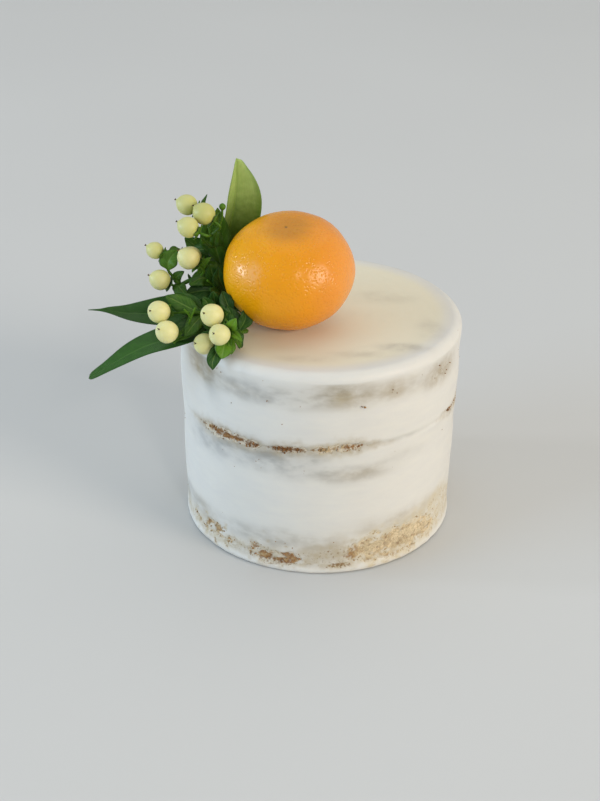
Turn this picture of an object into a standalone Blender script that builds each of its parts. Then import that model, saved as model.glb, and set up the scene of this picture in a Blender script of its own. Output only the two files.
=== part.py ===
"""Naked layer cake, six inches across, with a mandarin and hypericum sprigs on top.

Three sponge layers with buttercream between them stand inside one thin scraped coat of
buttercream, which is open where the browned sponge shows. Lengths below are millimetres and
angles are degrees; meshes are made in metres. +Z is up, the origin is the centre of the cake's
base, and angle 0 on the cake's side faces -Y, with +X to its right.
"""
import math
import random

import bmesh
import bpy
from mathutils import Matrix, Vector, noise

METRE = 0.001
SEED = 11

# Cake
CAKE_HEIGHT = 121.3
BASE_RADIUS = 74.5
TOP_RADIUS = 76.5
RIM_ROUNDING = 5.5
COAT = 2.2
COAT_LIFT = 0.45
TOP_COAT = 3.4
BASE_BEAD = 0.8
BEAD_HEIGHT = 2.6
COAT_RELIEF = 0.3
RIM_HEIGHT = CAKE_HEIGHT - RIM_ROUNDING
RIM_CENTRE = TOP_RADIUS - RIM_ROUNDING
GAP = 0.3
SPONGE_TOPS = (36.0, 81.3, 117.5)
FILLING = 7.0
SPONGE_CHAMFER = 1.6
SIDES = 60
STEP = 360 // SIDES

# Noise: where each kind of unevenness starts in the noise's space
SIDE_NOISE = 3.0
TOP_NOISE = 5.0
EDGE_NOISE = 11.0

# Openings scraped through the coat at the base: from angle, to angle, lowest and highest edge
BASE_OPENINGS = (
    (-66, -36, 6.5, 15.5),
    (-30, -6, 5.5, 16.5),
    (12, 60, 5.0, 23.5),
    (84, 120, 5.5, 17.0),
    (138, 162, 6.5, 14.5),
    (180, 228, 5.0, 20.5),
    (246, 276, 6.0, 15.0),
)
# Openings along the middle layer's browned top edge: from angle, to angle, greatest height
LINE_OPENINGS = (
    (-54, -24, 4.2),
    (-18, -6, 2.6),
    (0, 18, 3.0),
    (66, 96, 2.8),
    (132, 180, 3.4),
    (216, 258, 3.0),
)
# Height of that edge at some angles round the cake
LINE_HEIGHTS = (
    (-180, 77.0),
    (-54, 75.6),
    (-24, 76.1),
    (0, 78.1),
    (14, 79.4),
    (40, 77.8),
    (66, 78.5),
    (120, 76.4),
    (180, 77.0),
)
LEAST_OPENING = 1.3
LEAST_REACH = 0.28
SPLAY = 0.35
CRUMB_DEPTH = 0.9
CRUMB_UNEVEN = 0.35
BAND_GAP = 0.35

# Rows over the rim: lean of the outer face, inset of the inner face and the share of its rise;
# and rows over the top, as shares of the way out from its middle
RIM_ROWS = ((30, 0.2, 0.55), (60, 1.0, 0.85), (90, 3.3, 1.0))
TOP_ROWS = (0.7, 0.35)
# Rings over a raised band of crumb: place across the band, and how far it is raised
BASE_BAND = ((-1.0, 0.0), (-0.8, 1.0), (0.0, 0.9), (0.8, 1.0), (1.0, 0.0))
LINE_BAND = ((-1.0, 0.0), (-0.55, 1.0), (0.55, 1.0), (1.0, 0.0))

# Mandarin
MANDARIN_CENTRE = (-16.9, -15.7, 29.25)
MANDARIN_RADIUS = 34.3
MANDARIN_HALF_HEIGHT = 28.6
MANDARIN_SHOULDER = 0.88
MANDARIN_LEAN = 12.0
MANDARIN_LEAN_TOWARDS = -15.0
MANDARIN_DIMPLE = 1.3
MANDARIN_DIMPLE_WIDTH = 0.26
MANDARIN_SEGMENTS = 9
MANDARIN_SIDES = 26
MANDARIN_RINGS = 16

# Berries: centre (z above the cake's top), the way the tip points, and radius
BERRIES = (
    ((-71.1, 4.0, 57.3), (-0.91, 0.19, 0.36), 5.4),
    ((-61.6, -4.0, 55.7), (-0.79, 0.02, 0.62), 5.7),
    ((-69.3, -11.0, 50.8), (-0.90, 0.20, 0.39), 5.4),
    ((-87.9, -4.0, 34.6), (-0.88, 0.22, 0.42), 4.5),
    ((-69.3, -14.0, 34.9), (-0.72, -0.14, 0.68), 5.8),
    ((-69.1, -1.0, 30.2), (-0.75, 0.30, 0.60), 5.3),
    ((-85.0, -12.0, 21.4), (-0.84, -0.24, 0.49), 5.4),
    ((-82.4, -42.0, 17.0), (-0.54, -0.73, 0.42), 5.7),
    ((-77.7, -50.0, 9.7), (-0.49, -0.69, 0.54), 5.8),
    ((-54.6, -50.0, 19.5), (-0.51, -0.71, 0.48), 5.8),
    ((-50.2, -60.0, 13.6), (-0.37, -0.79, 0.48), 5.4),
    ((-58.6, -53.0, 4.8), (-0.61, -0.69, 0.37), 5.4),
)
BERRY_STRETCH = 1.05
BERRY_TIP = 0.7
BERRY_SIDES = 12
BERRY_RINGS = 7

# Stems and leaves
STEM_RADIUS = 1.25
TWIG_RADIUS = 0.75
STEM_SIDES = 5
SEPALS = 5
SEPAL_REACH = 5.4
SEPAL_NOTCH = 2.9
SEPAL_BASE = 1.4
SEPAL_CUP = 1.6
SEPAL_THICKNESS = 0.5
LEAF_THICKNESS = 0.55
LEAF_FOOT = 0.12
LEAF_TIP = 0.12

# Sprigs: the stalk's knots; the twigs (berry, knot of the stalk, points on the way, bend near the
# berry, size of its sepals); and the small leaves (knots, width, the way the upper side faces)
SPRIGS = {
    "sprig_upper": {
        "stalk": (
            (-40.5, -1.0, 1.9),
            (-47.5, 2.0, 7.0),
            (-53.5, 4.0, 20.0),
            (-56.5, 3.0, 32.0),
            (-58.5, 0.5, 42.0),
        ),
        "twigs": (
            (1, 4, (), (0.5, 0.0, -1.0), 1.0),
            (2, 4, (), (0.0, 0.0, -1.0), 1.0),
            (3, 4, (), (1.0, 0.5, 0.0), 0.85),
        ),
        "leaves": (
            (((-54.0, 4.0, 21.5), (-65.0, 8.5, 30.0), (-73.5, 9.5, 36.5)), 13.0, (-0.3, -0.8, 0.6)),
            (((-53.7, 4.0, 21.0), (-54.5, 8.5, 38.0), (-55.5, 9.0, 54.0)), 11.5, (-0.1, -1.0, 0.3)),
            (((-53.3, 3.7, 18.5), (-55.0, 1.5, 30.0), (-58.0, 0.5, 41.5)), 9.5, (-0.2, -0.9, 0.4)),
            (((-55.6, 3.4, 27.5), (-58.5, 5.0, 37.5), (-61.5, 5.0, 49.0)), 12.0, (0.0, -1.0, 0.3)),
        ),
    },
    "sprig_middle": {
        "stalk": (
            (-41.5, -9.0, 1.9),
            (-48.5, -6.5, 9.0),
            (-57.0, -7.5, 17.5),
            (-65.0, -9.0, 21.5),
            (-74.5, -9.2, 17.5),
        ),
        "twigs": (
            (5, 3, (), (0.0, 0.0, -1.0), 1.0),
            (6, 3, (), (0.0, 1.0, -1.0), 1.0),
            (7, 4, (), (0.0, 0.0, 0.0), 1.0),
            (4, 4, ((-81.0, -8.0, 25.5),), (0.0, 0.0, 0.0), 0.85),
        ),
        "leaves": (
            (((-56.5, -7.8, 17.0), (-62.0, -11.0, 22.5), (-69.5, -14.5, 20.0)), 10.0, (-0.2, -0.9, 0.5)),
            (((-74.0, -9.2, 17.7), (-75.0, -12.3, 17.9), (-70.7, -14.5, 13.5)), 8.5, (-0.4, -0.7, 0.6)),
            (((-50.0, -6.7, 10.6), (-54.0, -14.0, 15.0), (-58.0, -20.0, 20.0)), 8.5, (0.1, -0.8, 0.6)),
            (((-53.0, -6.9, 13.5), (-58.5, -4.5, 24.0), (-62.3, -4.0, 30.0)), 11.0, (0.0, -0.9, 0.4)),
            (((-51.5, -6.8, 12.0), (-61.5, -9.5, 14.4), (-72.6, -11.0, 12.9)), 11.0, (-0.1, -0.8, 0.6)),
            (((-80.7, -8.0, 25.3), (-80.3, -4.5, 29.5), (-76.0, -2.0, 33.8)), 8.0, (-0.5, -0.8, 0.2)),
        ),
    },
    "sprig_left": {
        "stalk": (
            (-43.0, -19.0, 1.9),
            (-50.0, -25.0, 6.5),
            (-58.0, -32.0, 11.5),
            (-66.0, -37.5, 15.0),
        ),
        "twigs": (
            (8, 3, (), (0.5, 0.5, 0.0), 1.0),
            (9, 3, (), (1.0, 0.0, 0.0), 1.0),
        ),
        "leaves": (
            (((-63.0, -35.5, 14.0), (-71.5, -33.0, 17.5), (-80.0, -32.0, 21.5)), 10.0, (-0.2, -0.7, 0.7)),
            (((-60.0, -33.5, 12.5), (-64.5, -42.0, 10.5), (-69.0, -48.0, 6.0)), 8.5, (0.1, -0.6, 0.8)),
        ),
    },
    "sprig_front": {
        "stalk": (
            (-38.5, -31.5, 1.9),
            (-41.5, -39.0, 5.0),
            (-45.5, -46.5, 10.0),
        ),
        "twigs": (
            (10, 2, (), (0.5, 0.0, -0.5), 1.0),
            (11, 2, (), (0.0, 0.5, 0.0), 1.1),
            (12, 2, (), (0.5, 0.5, 1.5), 0.45),
        ),
        "leaves": (
            (((-42.0, -40.0, 5.6), (-44.5, -37.5, 11.0), (-48.0, -35.5, 18.0)), 9.0, (0.2, -0.9, 0.4)),
            (
                ((-45.5, -46.5, 9.7), (-50.5, -55.0, 4.5), (-53.2, -63.5, 1.5), (-53.6, -65.8, -3.5)),
                6.0,
                (0.0, -0.5, 0.9),
            ),
            (((-45.0, -45.5, 9.3), (-42.5, -52.0, 8.5), (-40.0, -58.0, 5.0)), 5.5, (0.2, -0.5, 0.9)),
        ),
    },
}
# The upper sprig's bud: its place, a point on its twig, its radius, and its ends below and above
BUD = (-52.3, 2.0, 57.5)
BUD_TWIG = (-53.3, 2.0, 49.0)
BUD_RADIUS = 1.9
BUD_ENDS = (-2.2, 1.8)

# Large leaves: knots, and the shape's numbers as the function leaf takes them
LARGE_LEAVES = {
    "leaf_upright": (
        (
            (-46.0, 13.0, 1.3),
            (-50.6, 17.5, 17.0),
            (-50.8, 20.0, 34.0),
            (-48.0, 21.0, 50.0),
            (-46.5, 22.0, 63.5),
            (-45.9, 22.0, 77.0),
        ),
        {
            "width": 31.0,
            "face": (0.6, -0.79, 0.1),
            "fold": 36.0,
            "wave": 0.4,
            "widest": 0.6,
            "tip": 0.2,
            "kept": 0.5,
        },
    ),
    "leaf_long": (
        (
            (-42.0, -4.5, 1.2),
            (-55.0, -12.3, 5.4),
            (-79.7, -17.0, 4.8),
            (-100.0, -20.5, 5.4),
            (-112.0, -22.8, 8.2),
            (-121.8, -24.0, 8.9),
        ),
        {
            "width": 19.0,
            "face": (0.0, -0.55, 0.85),
            "fold": 14.0,
            "wave": 0.5,
            "widest": 0.36,
            "taper": 2.2,
            "tip": 0.06,
        },
    ),
    "leaf_low": (
        (
            (-46.0, -28.0, 1.3),
            (-62.0, -37.0, 3.4),
            (-79.6, -42.0, 1.2),
            (-97.4, -46.0, -5.2),
            (-119.2, -50.0, -18.0),
        ),
        {
            "width": 18.0,
            "face": (-0.1, -0.3, 0.95),
            "fold": 10.0,
            "wave": 0.4,
            "widest": 0.5,
            "tip": 0.42,
            "count": 12,
        },
    ),
}


def remove_everything():
    for item in list(bpy.data.objects):
        bpy.data.objects.remove(item, do_unlink=True)


def linear(channel):
    return channel / 12.92 if channel <= 0.04045 else ((channel + 0.055) / 1.055) ** 2.4


def finish(name, colour, roughness, metallic=0.0):
    """A Principled material from an sRGB hex colour."""
    material = bpy.data.materials.new(name)
    material.use_nodes = True
    shader = material.node_tree.nodes["Principled BSDF"]
    rgb = [linear(int(colour[i : i + 2], 16) / 255) for i in (0, 2, 4)]
    shader.inputs["Base Color"].default_value = (*rgb, 1.0)
    shader.inputs["Roughness"].default_value = roughness
    shader.inputs["Metallic"].default_value = metallic
    material.diffuse_color = (*rgb, 1.0)
    return material


def above(point):
    """A point given from the cake's top, as a vector from its base."""
    return Vector(point) + Vector((0.0, 0.0, CAKE_HEIGHT))


def on_circle(radius, angle, z):
    turn = math.radians(angle)
    return Vector((radius * math.sin(turn), -radius * math.cos(turn), z))


def make_object(name, mesh, material, crease=40.0):
    mesh.transform(Matrix.Scale(METRE, 4))
    mesh.materials.append(material)
    mesh.shade_smooth()
    mesh.set_sharp_from_angle(angle=math.radians(crease))
    item = bpy.data.objects.new(name, mesh)
    bpy.context.scene.collection.objects.link(item)
    return item


def mesh_from(points, faces):
    """A mesh in millimetres, its faces turned outwards."""
    mesh = bpy.data.meshes.new("solid")
    mesh.from_pydata([tuple(point) for point in points], [], faces)
    edit = bmesh.new()
    edit.from_mesh(mesh)
    bmesh.ops.recalc_face_normals(edit, faces=edit.faces)
    edit.to_mesh(mesh)
    edit.free()
    return mesh


def turned(rings):
    """A closed mesh through rings of equal length; a ring of one point is a pole."""
    points = []
    starts = []
    for ring in rings:
        starts.append(len(points))
        points += ring
    faces = []
    for low, high, start, after in zip(rings, rings[1:], starts, starts[1:]):
        count = max(len(low), len(high))
        for i in range(count):
            j = (i + 1) % count
            if len(low) == 1:
                faces.append((start, after + j, after + i))
            elif len(high) == 1:
                faces.append((start + i, start + j, after))
            else:
                faces.append((start + i, start + j, after + j, after + i))
    return mesh_from(points, faces)


def read_table(table, angle):
    """Straight-line reading of (angle, value) pairs."""
    for (a0, v0), (a1, v1) in zip(table, table[1:]):
        if a0 <= angle <= a1:
            return v0 + (v1 - v0) * (angle - a0) / (a1 - a0)
    raise ValueError(f"angle {angle} is outside the table")


def signed(angle):
    return (angle + 180) % 360 - 180


def side_radius(z):
    return BASE_RADIUS + (TOP_RADIUS - BASE_RADIUS) * z / CAKE_HEIGHT


def inner_radius(z):
    return side_radius(z) - COAT


def opening_at(angle, openings):
    """The opening that covers the angle and how far along it the angle is, or None."""
    for opening in openings:
        start, end = opening[:2]
        along = ((angle - start) % 360) / (end - start)
        if along <= 1:
            return opening, along
    return None


def swell(along):
    """Height of an opening along its length: low at both ends."""
    return math.sin(math.pi * along) ** 0.4 if 0 < along < 1 else 0.0


def unevenness(angle, z, scale, start):
    """Noise round the cake, about -1 to 1; a larger scale has shorter waves."""
    return noise.noise(on_circle(1.0, angle, z / 60) * scale + Vector((start, start, start)))


def base_edges(angle):
    """Lower and upper edge of the bare band at the base."""
    found = opening_at(angle, BASE_OPENINGS)
    if found is None:
        return 7.0, 13.0
    (start, end, low, high), along = found
    middle = low + SPLAY * (high - low)
    reach = max(swell(along), LEAST_REACH)
    wobble = 1.0 + 0.16 * unevenness(angle, 0.0, 9.0, EDGE_NOISE)
    return middle - (middle - low) * reach, middle + (high - middle) * reach * wobble


def line_edges(angle):
    """Lower and upper edge of the bare line at the middle layer's top."""
    middle = read_table(LINE_HEIGHTS, signed(angle))
    found = opening_at(angle, LINE_OPENINGS)
    height = LEAST_OPENING
    if found is not None:
        (start, end, most), along = found
        height = LEAST_OPENING + (most - LEAST_OPENING) * swell(along)
    return middle - height / 2, middle + height / 2


def side_rows(angle):
    """Height and swelling of the coat's rows at one angle, from its foot to the rim."""
    low, high = base_edges(angle)
    under, over = line_edges(angle)
    return (
        (COAT_LIFT, 0.2),
        (BEAD_HEIGHT, BASE_BEAD),
        (low, -0.2),
        (high, -0.3),
        (41.0, 0.3),
        (62.0, -0.3),
        (under, -0.4),
        (over, -0.1),
        (90.0, 0.3),
        (104.0, -0.4),
        (RIM_HEIGHT, 0.0),
    )


def coat_profile(angle):
    """Outer and inner points of the coat at one angle, from its foot to near the top's centre."""
    outer = []
    inner = []
    for z, bulge in side_rows(angle):
        relief = COAT_RELIEF * unevenness(angle, z, 2.5, SIDE_NOISE)
        outer.append((side_radius(z) + bulge + relief, z))
        inner.append((inner_radius(z), z))
    underside = CAKE_HEIGHT - TOP_COAT
    for lean, inset, rise in RIM_ROWS:
        turn = math.radians(lean)
        wave = COAT_RELIEF * unevenness(angle, CAKE_HEIGHT, 1.5, TOP_NOISE) * lean / 90
        height = RIM_HEIGHT + RIM_ROUNDING * math.sin(turn) + wave
        outer.append((RIM_CENTRE + RIM_ROUNDING * math.cos(turn), height))
        inner.append((inner_radius(underside) - inset, RIM_HEIGHT + (underside - RIM_HEIGHT) * rise))
    for share in TOP_ROWS:
        wave = COAT_RELIEF * share * unevenness(angle, CAKE_HEIGHT, 1.5 * share, TOP_NOISE)
        outer.append((RIM_CENTRE * share, CAKE_HEIGHT + wave - COAT_RELIEF / 2))
        inner.append((RIM_CENTRE * share, underside))
    return outer, inner


# The rows of side_rows at the lower edges of the openings
BASE_ROW = 2
LINE_ROW = 6


def is_open(row, angle):
    """Whether the coat is open in the cell above this row and to the right of this angle."""
    openings = {BASE_ROW: BASE_OPENINGS, LINE_ROW: LINE_OPENINGS}.get(row, ())
    return opening_at(angle + STEP / 2, openings) is not None


def buttercream_coat(material):
    """One shell over the side and top, open where the sponge shows."""
    profiles = [coat_profile(column * STEP) for column in range(SIDES)]
    rows = len(profiles[0][0])
    points = []
    for layer in (0, 1):
        for column in range(SIDES):
            points += [on_circle(radius, column * STEP, z) for radius, z in profiles[column][layer]]
    centre = [len(points), len(points) + 1]
    points.append(Vector((0, 0, CAKE_HEIGHT - COAT_RELIEF / 2)))
    points.append(Vector((0, 0, CAKE_HEIGHT - TOP_COAT)))

    def corner(layer, at):
        row, column = at
        return (layer * SIDES + column % SIDES) * rows + row

    def wall(first, second):
        """A face from the outside to the inside along one edge."""
        return (corner(0, first), corner(0, second), corner(1, second), corner(1, first))

    faces = []
    for column in range(SIDES):
        faces.append(wall((0, column), (0, column + 1)))
        for layer in (0, 1):
            last = [corner(layer, (rows - 1, column + side)) for side in (0, 1)]
            faces.append((*last, centre[layer]))
        for row in range(rows - 1):
            square = ((row, column), (row, column + 1), (row + 1, column + 1), (row + 1, column))
            if not is_open(row, column * STEP):
                faces += [tuple(corner(layer, at) for at in square) for layer in (0, 1)]
                continue
            beside = ((row - 1, column), (row, column + 1), (row + 1, column), (row, column - 1))
            for first, second, (near_row, near_column) in zip(square, square[1:] + square[:1], beside):
                if not is_open(near_row, near_column * STEP):
                    faces.append(wall(first, second))
    return make_object("buttercream_coat", mesh_from(points, faces), material)


def layer_disc(name, rings, material):
    """A disc through rings of (radius by column, height by column), closed at both ends."""
    loops = [[on_circle(r, column * STEP, z) for column, (r, z) in enumerate(ring)] for ring in rings]
    low = [Vector((0, 0, loops[0][0].z))]
    high = [Vector((0, 0, loops[-1][0].z))]
    return make_object(name, turned([low] + loops + [high]), material, crease=50.0)


def plain_ring(z, inset=0.0):
    return [(inner_radius(z) - GAP - inset, z)] * SIDES


def raised_rings(edges, openings, shares, draw):
    """Rings across an opening's band: level with the layer beside it, raised within it."""
    rings = []
    for share, level in shares:
        ring = []
        for column in range(SIDES):
            angle = column * STEP
            low, high = edges(angle)
            half = (high - low) / 2 - BAND_GAP
            z = (low + high) / 2 + share * half
            radius = inner_radius(z) - GAP
            found = opening_at(angle, openings)
            if found is not None and 0 < found[1] < 1:
                bite = CRUMB_UNEVEN * draw.random()
                radius += level * (COAT + GAP - CRUMB_DEPTH - bite)
            ring.append((radius, z))
        rings.append(ring)
    return rings


def cake_layers(crumb, cream):
    draw = random.Random(SEED)
    low_top, middle_top, high_top = SPONGE_TOPS
    base_rings = raised_rings(base_edges, BASE_OPENINGS, BASE_BAND, draw)
    line_rings = raised_rings(line_edges, LINE_OPENINGS, LINE_BAND, draw)
    middle_foot = low_top + FILLING
    high_foot = middle_top + FILLING
    layer_disc("sponge_bottom", [plain_ring(0.0)] + base_rings + [plain_ring(low_top)], crumb)
    layer_disc("sponge_middle", [plain_ring(middle_foot)] + line_rings + [plain_ring(middle_top)], crumb)
    shoulder = [plain_ring(high_top - SPONGE_CHAMFER), plain_ring(high_top, SPONGE_CHAMFER)]
    layer_disc("sponge_top", [plain_ring(high_foot)] + shoulder, crumb)
    fillings = (("filling_lower", low_top, middle_foot), ("filling_upper", middle_top, high_foot))
    for name, top, foot in fillings:
        layer_disc(name, [plain_ring(top + GAP), plain_ring(foot - GAP)], cream)


def aligned(direction):
    """The turn that takes +Z to the direction."""
    return Vector((0, 0, 1)).rotation_difference(Vector(direction).normalized()).to_matrix()


def mandarin(material):
    """A flattened fruit that leans a little, with a dimple at its upper pole."""
    lean = math.radians(MANDARIN_LEAN)
    turn = aligned(on_circle(math.sin(lean), MANDARIN_LEAN_TOWARDS, math.cos(lean)))
    loops = []
    for ring in range(MANDARIN_RINGS + 1):
        slope = math.pi * ring / MANDARIN_RINGS
        dimple = MANDARIN_DIMPLE * math.exp(-((math.pi - slope) / MANDARIN_DIMPLE_WIDTH) ** 2)
        height = -math.cos(slope) * MANDARIN_HALF_HEIGHT - dimple
        fullness = MANDARIN_SHOULDER if 2 * ring > MANDARIN_RINGS else 1.0
        pole = ring in (0, MANDARIN_RINGS)
        radius = 0.0 if pole else math.sin(slope) ** fullness * MANDARIN_RADIUS
        loop = []
        for side in range(1 if pole else MANDARIN_SIDES):
            spin = math.tau * side / MANDARIN_SIDES
            out = radius * (1 + 0.006 * math.cos(MANDARIN_SEGMENTS * spin) * math.sin(slope))
            loop.append(Vector((out * math.cos(spin), out * math.sin(spin), height)))
        loops.append([above(MANDARIN_CENTRE) + turn @ point for point in loop])
    return make_object("mandarin", turned(loops), material, crease=60.0)


def berry(number, centre, tip, radius, material):
    """An egg-round berry with a small point at its tip."""
    turn = aligned(tip)
    loops = []
    for ring in range(BERRY_RINGS + 1):
        slope = math.pi * ring / BERRY_RINGS
        height = -math.cos(slope) * radius * BERRY_STRETCH
        width = math.sin(slope) * radius * (1 - 0.04 * math.cos(math.pi - slope))
        if ring == BERRY_RINGS:
            height += BERRY_TIP
        count = BERRY_SIDES if 0 < ring < BERRY_RINGS else 1
        spins = [math.tau * side / BERRY_SIDES for side in range(count)]
        loop = [Vector((width * math.cos(spin), width * math.sin(spin), height)) for spin in spins]
        loops.append([above(centre) + turn @ point for point in loop])
    return make_object(f"berry_{number:02d}", turned(loops), material, crease=60.0)


def smooth_path(knots, count):
    """Points along a Catmull-Rom curve through the knots."""
    knots = [Vector(knot) for knot in knots]
    padded = [2 * knots[0] - knots[1]] + knots + [2 * knots[-1] - knots[-2]]
    path = []
    for i in range(count + 1):
        along = (len(knots) - 1) * i / count
        k = min(int(along), len(knots) - 2)
        t = along - k
        a, b, c, d = padded[k : k + 4]
        bend = (c - a) * t + (2 * a - 5 * b + 4 * c - d) * t**2 + (3 * b - a - 3 * c + d) * t**3
        path.append(0.5 * (2 * b + bend))
    return path


def tangents(path):
    ends = [path[0]] + path + [path[-1]]
    return [(ends[i + 2] - ends[i]).normalized() for i in range(len(path))]


def stem(knots, radius, count):
    """A closed round stem along a smooth path."""
    path = smooth_path(knots, count)
    loops = [[path[0]]]
    side = Vector((0.3, 0.5, 0.8))
    for point, along in zip(path, tangents(path)):
        side = (side - along * side.dot(along)).normalized()
        up = along.cross(side)
        spins = [math.tau * i / STEM_SIDES for i in range(STEM_SIDES)]
        loops.append([point + radius * (math.cos(s) * side + math.sin(s) * up) for s in spins])
    loops.append([path[-1]])
    return turned(loops)


def outline(t, widest, taper, tip):
    """Half width of a leaf along its length, as a share of its greatest."""
    if t == 0:
        return LEAF_FOOT
    if t == 1:
        return max(tip * 0.45, 0.06)
    lens = math.sin(math.pi * t ** (math.log(0.5) / math.log(widest))) ** taper
    return max(lens, LEAF_FOOT if t < 0.5 else tip)


def leaf(
    knots,
    width,
    face,
    count=10,
    across=4,
    fold=15.0,
    wave=0.5,
    widest=0.45,
    taper=0.85,
    tip=LEAF_TIP,
    kept=1.0,
):
    """A thin wavy solid along its knots, folded along its midrib, with face as its upper side's way.

    Kept is the share of its half width that the leaf has on its left side.
    """
    path = smooth_path([above(knot) for knot in knots], count)
    upper = []
    lower = []
    rise = math.radians(fold)
    for i, (point, along) in enumerate(zip(path, tangents(path))):
        t = i / count
        side = along.cross(Vector(face)).normalized()
        up = side.cross(along)
        half = width / 2 * outline(t, widest, taper, tip)
        for j in range(across + 1):
            u = (2 * j / across - 1) * (kept if j < across / 2 else 1.0)
            ripple = wave * abs(u) * math.sin(2.5 * math.tau * t + 2 * u)
            lift = abs(u) * half * math.sin(rise) + ripple
            edge = point + side * (u * half * math.cos(rise)) + up * lift
            upper.append(edge + up * (LEAF_THICKNESS / 2))
            lower.append(edge - up * (LEAF_THICKNESS / 2))
    return mesh_from(upper + lower, sheet_faces(count, across))


def sheet_faces(count, across):
    """Faces of a sheet's two sides, split into triangles alike, and of its edge."""
    row = across + 1
    shift = row * (count + 1)
    faces = []
    for i in range(count):
        for j in range(across):
            a, b = i * row + j, i * row + j + 1
            c, d = a + row, b + row
            pairs = ((a, b, d), (a, d, c)) if j < across / 2 else ((a, b, c), (b, d, c))
            for triangle in pairs:
                faces.append(triangle)
                faces.append(tuple(corner + shift for corner in reversed(triangle)))
    rim = list(range(row))
    rim += [i * row + across for i in range(1, count + 1)]
    rim += [count * row + j for j in range(across - 1, -1, -1)]
    rim += [i * row for i in range(count - 1, 0, -1)]
    for first, second in zip(rim, rim[1:] + rim[:1]):
        faces.append((second, first, first + shift, second + shift))
    return faces


def sepals(number, scale=1.0):
    """The cup of sepals just behind a berry, as one lobed solid."""
    centre, tip, radius = BERRIES[number - 1]
    turn = aligned(tip)
    back = radius * BERRY_STRETCH + GAP + SEPAL_THICKNESS
    foot = above(centre) - Vector(tip).normalized() * back
    steps = 2 * SEPALS
    rings = []
    for level in (0.0, SEPAL_THICKNESS):
        near = []
        far = []
        for step in range(steps):
            spin = math.tau * (step + 0.37 * number) / steps
            reach = (SEPAL_NOTCH if step % 2 else SEPAL_REACH) * scale
            cup = SEPAL_CUP * reach * reach / SEPAL_REACH**2
            for ring, radius_here, lift in ((near, SEPAL_BASE * scale, 0.0), (far, reach, cup)):
                place = Vector((radius_here * math.cos(spin), radius_here * math.sin(spin), lift + level))
                ring.append(foot + turn @ place)
        pole = [foot + turn @ Vector((0, 0, level))]
        rings += [pole, near, far] if level == 0.0 else [far, near, pole]
    return turned(rings)


def berry_foot(number):
    """Where a berry's twig ends, inside its cup of sepals."""
    centre, tip, radius = BERRIES[number - 1]
    back = radius * BERRY_STRETCH + GAP + SEPAL_THICKNESS * 0.6
    return above(centre) - Vector(tip).normalized() * back


def twig(start, number, through, bend):
    """A thin stem from a fork to a berry's sepals."""
    tip = Vector(BERRIES[number - 1][1]).normalized()
    foot = berry_foot(number)
    inside = (above(start) - foot).normalized() * TWIG_RADIUS / 2
    knots = [above(start) + inside]
    knots += [above(point) for point in through]
    knots += [foot - tip * 4.0 + Vector(bend), foot]
    return stem(knots, TWIG_RADIUS, 2 * len(knots) - 2)


def bud(fork):
    """A closed bud on its own twig."""
    place = above(BUD)
    low, high = (place + Vector((0, 0, end)) for end in BUD_ENDS)
    stalk = stem([above(fork), above(BUD_TWIG), place], TWIG_RADIUS, 4)
    return [stalk, stem([low, place, high], BUD_RADIUS, 2)]


def fused(name, meshes, material):
    """One solid from several that cross each other."""
    helpers = bpy.data.collections.new(name + "_pieces")
    bpy.context.scene.collection.children.link(helpers)
    for mesh in meshes[1:]:
        mesh.transform(Matrix.Scale(METRE, 4))
        helpers.objects.link(bpy.data.objects.new(name + "_piece", mesh))
    first = make_object(name, meshes[0], material)
    union = first.modifiers.new("union", "BOOLEAN")
    union.operation = "UNION"
    union.operand_type = "COLLECTION"
    union.collection = helpers
    union.solver = "EXACT"
    graph = bpy.context.evaluated_depsgraph_get()
    joined = bpy.data.meshes.new_from_object(first.evaluated_get(graph))
    first.modifiers.clear()
    first.data = joined
    joined.materials.clear()
    joined.materials.append(material)
    joined.shade_smooth()
    joined.set_sharp_from_angle(angle=math.radians(40))
    for piece in list(helpers.objects):
        bpy.data.objects.remove(piece, do_unlink=True)
    bpy.data.collections.remove(helpers)
    return first


def sprig(name, plan, green):
    """A stalk with its twigs, sepals and small leaves, as one solid."""
    stalk = plan["stalk"]
    pieces = [stem([above(knot) for knot in stalk], STEM_RADIUS, 2 * len(stalk))]
    for number, knot, through, bend, size in plan["twigs"]:
        pieces += [twig(stalk[knot], number, through, bend), sepals(number, size)]
    if name == "sprig_upper":
        pieces += bud(stalk[-1])
    for knots, width, face in plan["leaves"]:
        pieces.append(leaf(knots, width, face, count=5))
    return fused(name, pieces, green)


def main():
    remove_everything()
    crumb = finish("sponge", "C79A62", 0.85)
    cream = finish("buttercream", "F1EEE6", 0.55)
    cake_layers(crumb, cream)
    buttercream_coat(cream)
    mandarin(finish("mandarin_peel", "EC9A2E", 0.38))
    ivory = finish("berry_skin", "EDE6B4", 0.35)
    for number, (centre, tip, radius) in enumerate(BERRIES, start=1):
        berry(number, centre, tip, radius, ivory)
    deep = finish("dark_leaf", "2C5530", 0.5)
    pale = finish("pale_leaf", "8FB048", 0.5)
    for name, plan in SPRIGS.items():
        sprig(name, plan, deep)
    for name, (knots, shape) in LARGE_LEAVES.items():
        make_object(name, leaf(knots, **shape), pale if name == "leaf_upright" else deep)


main()
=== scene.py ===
# Looks of a six-inch naked cake with a mandarin and hypericum sprigs on top, built over its solids.
#
# Lengths in the tables and functions are millimetres and angles are degrees; meshes are made in
# metres. +Z is up, the origin is the centre of the cake's base, and angle 0 on the cake's side
# faces -Y, with +X to its right. Points of the toppings are given from the middle of the cake's top.
import math
import random

import bmesh
import bpy
import numpy as np
from bpy.props import FloatProperty, FloatVectorProperty, IntProperty, PointerProperty
from mathutils import Matrix, Vector, noise


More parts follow.
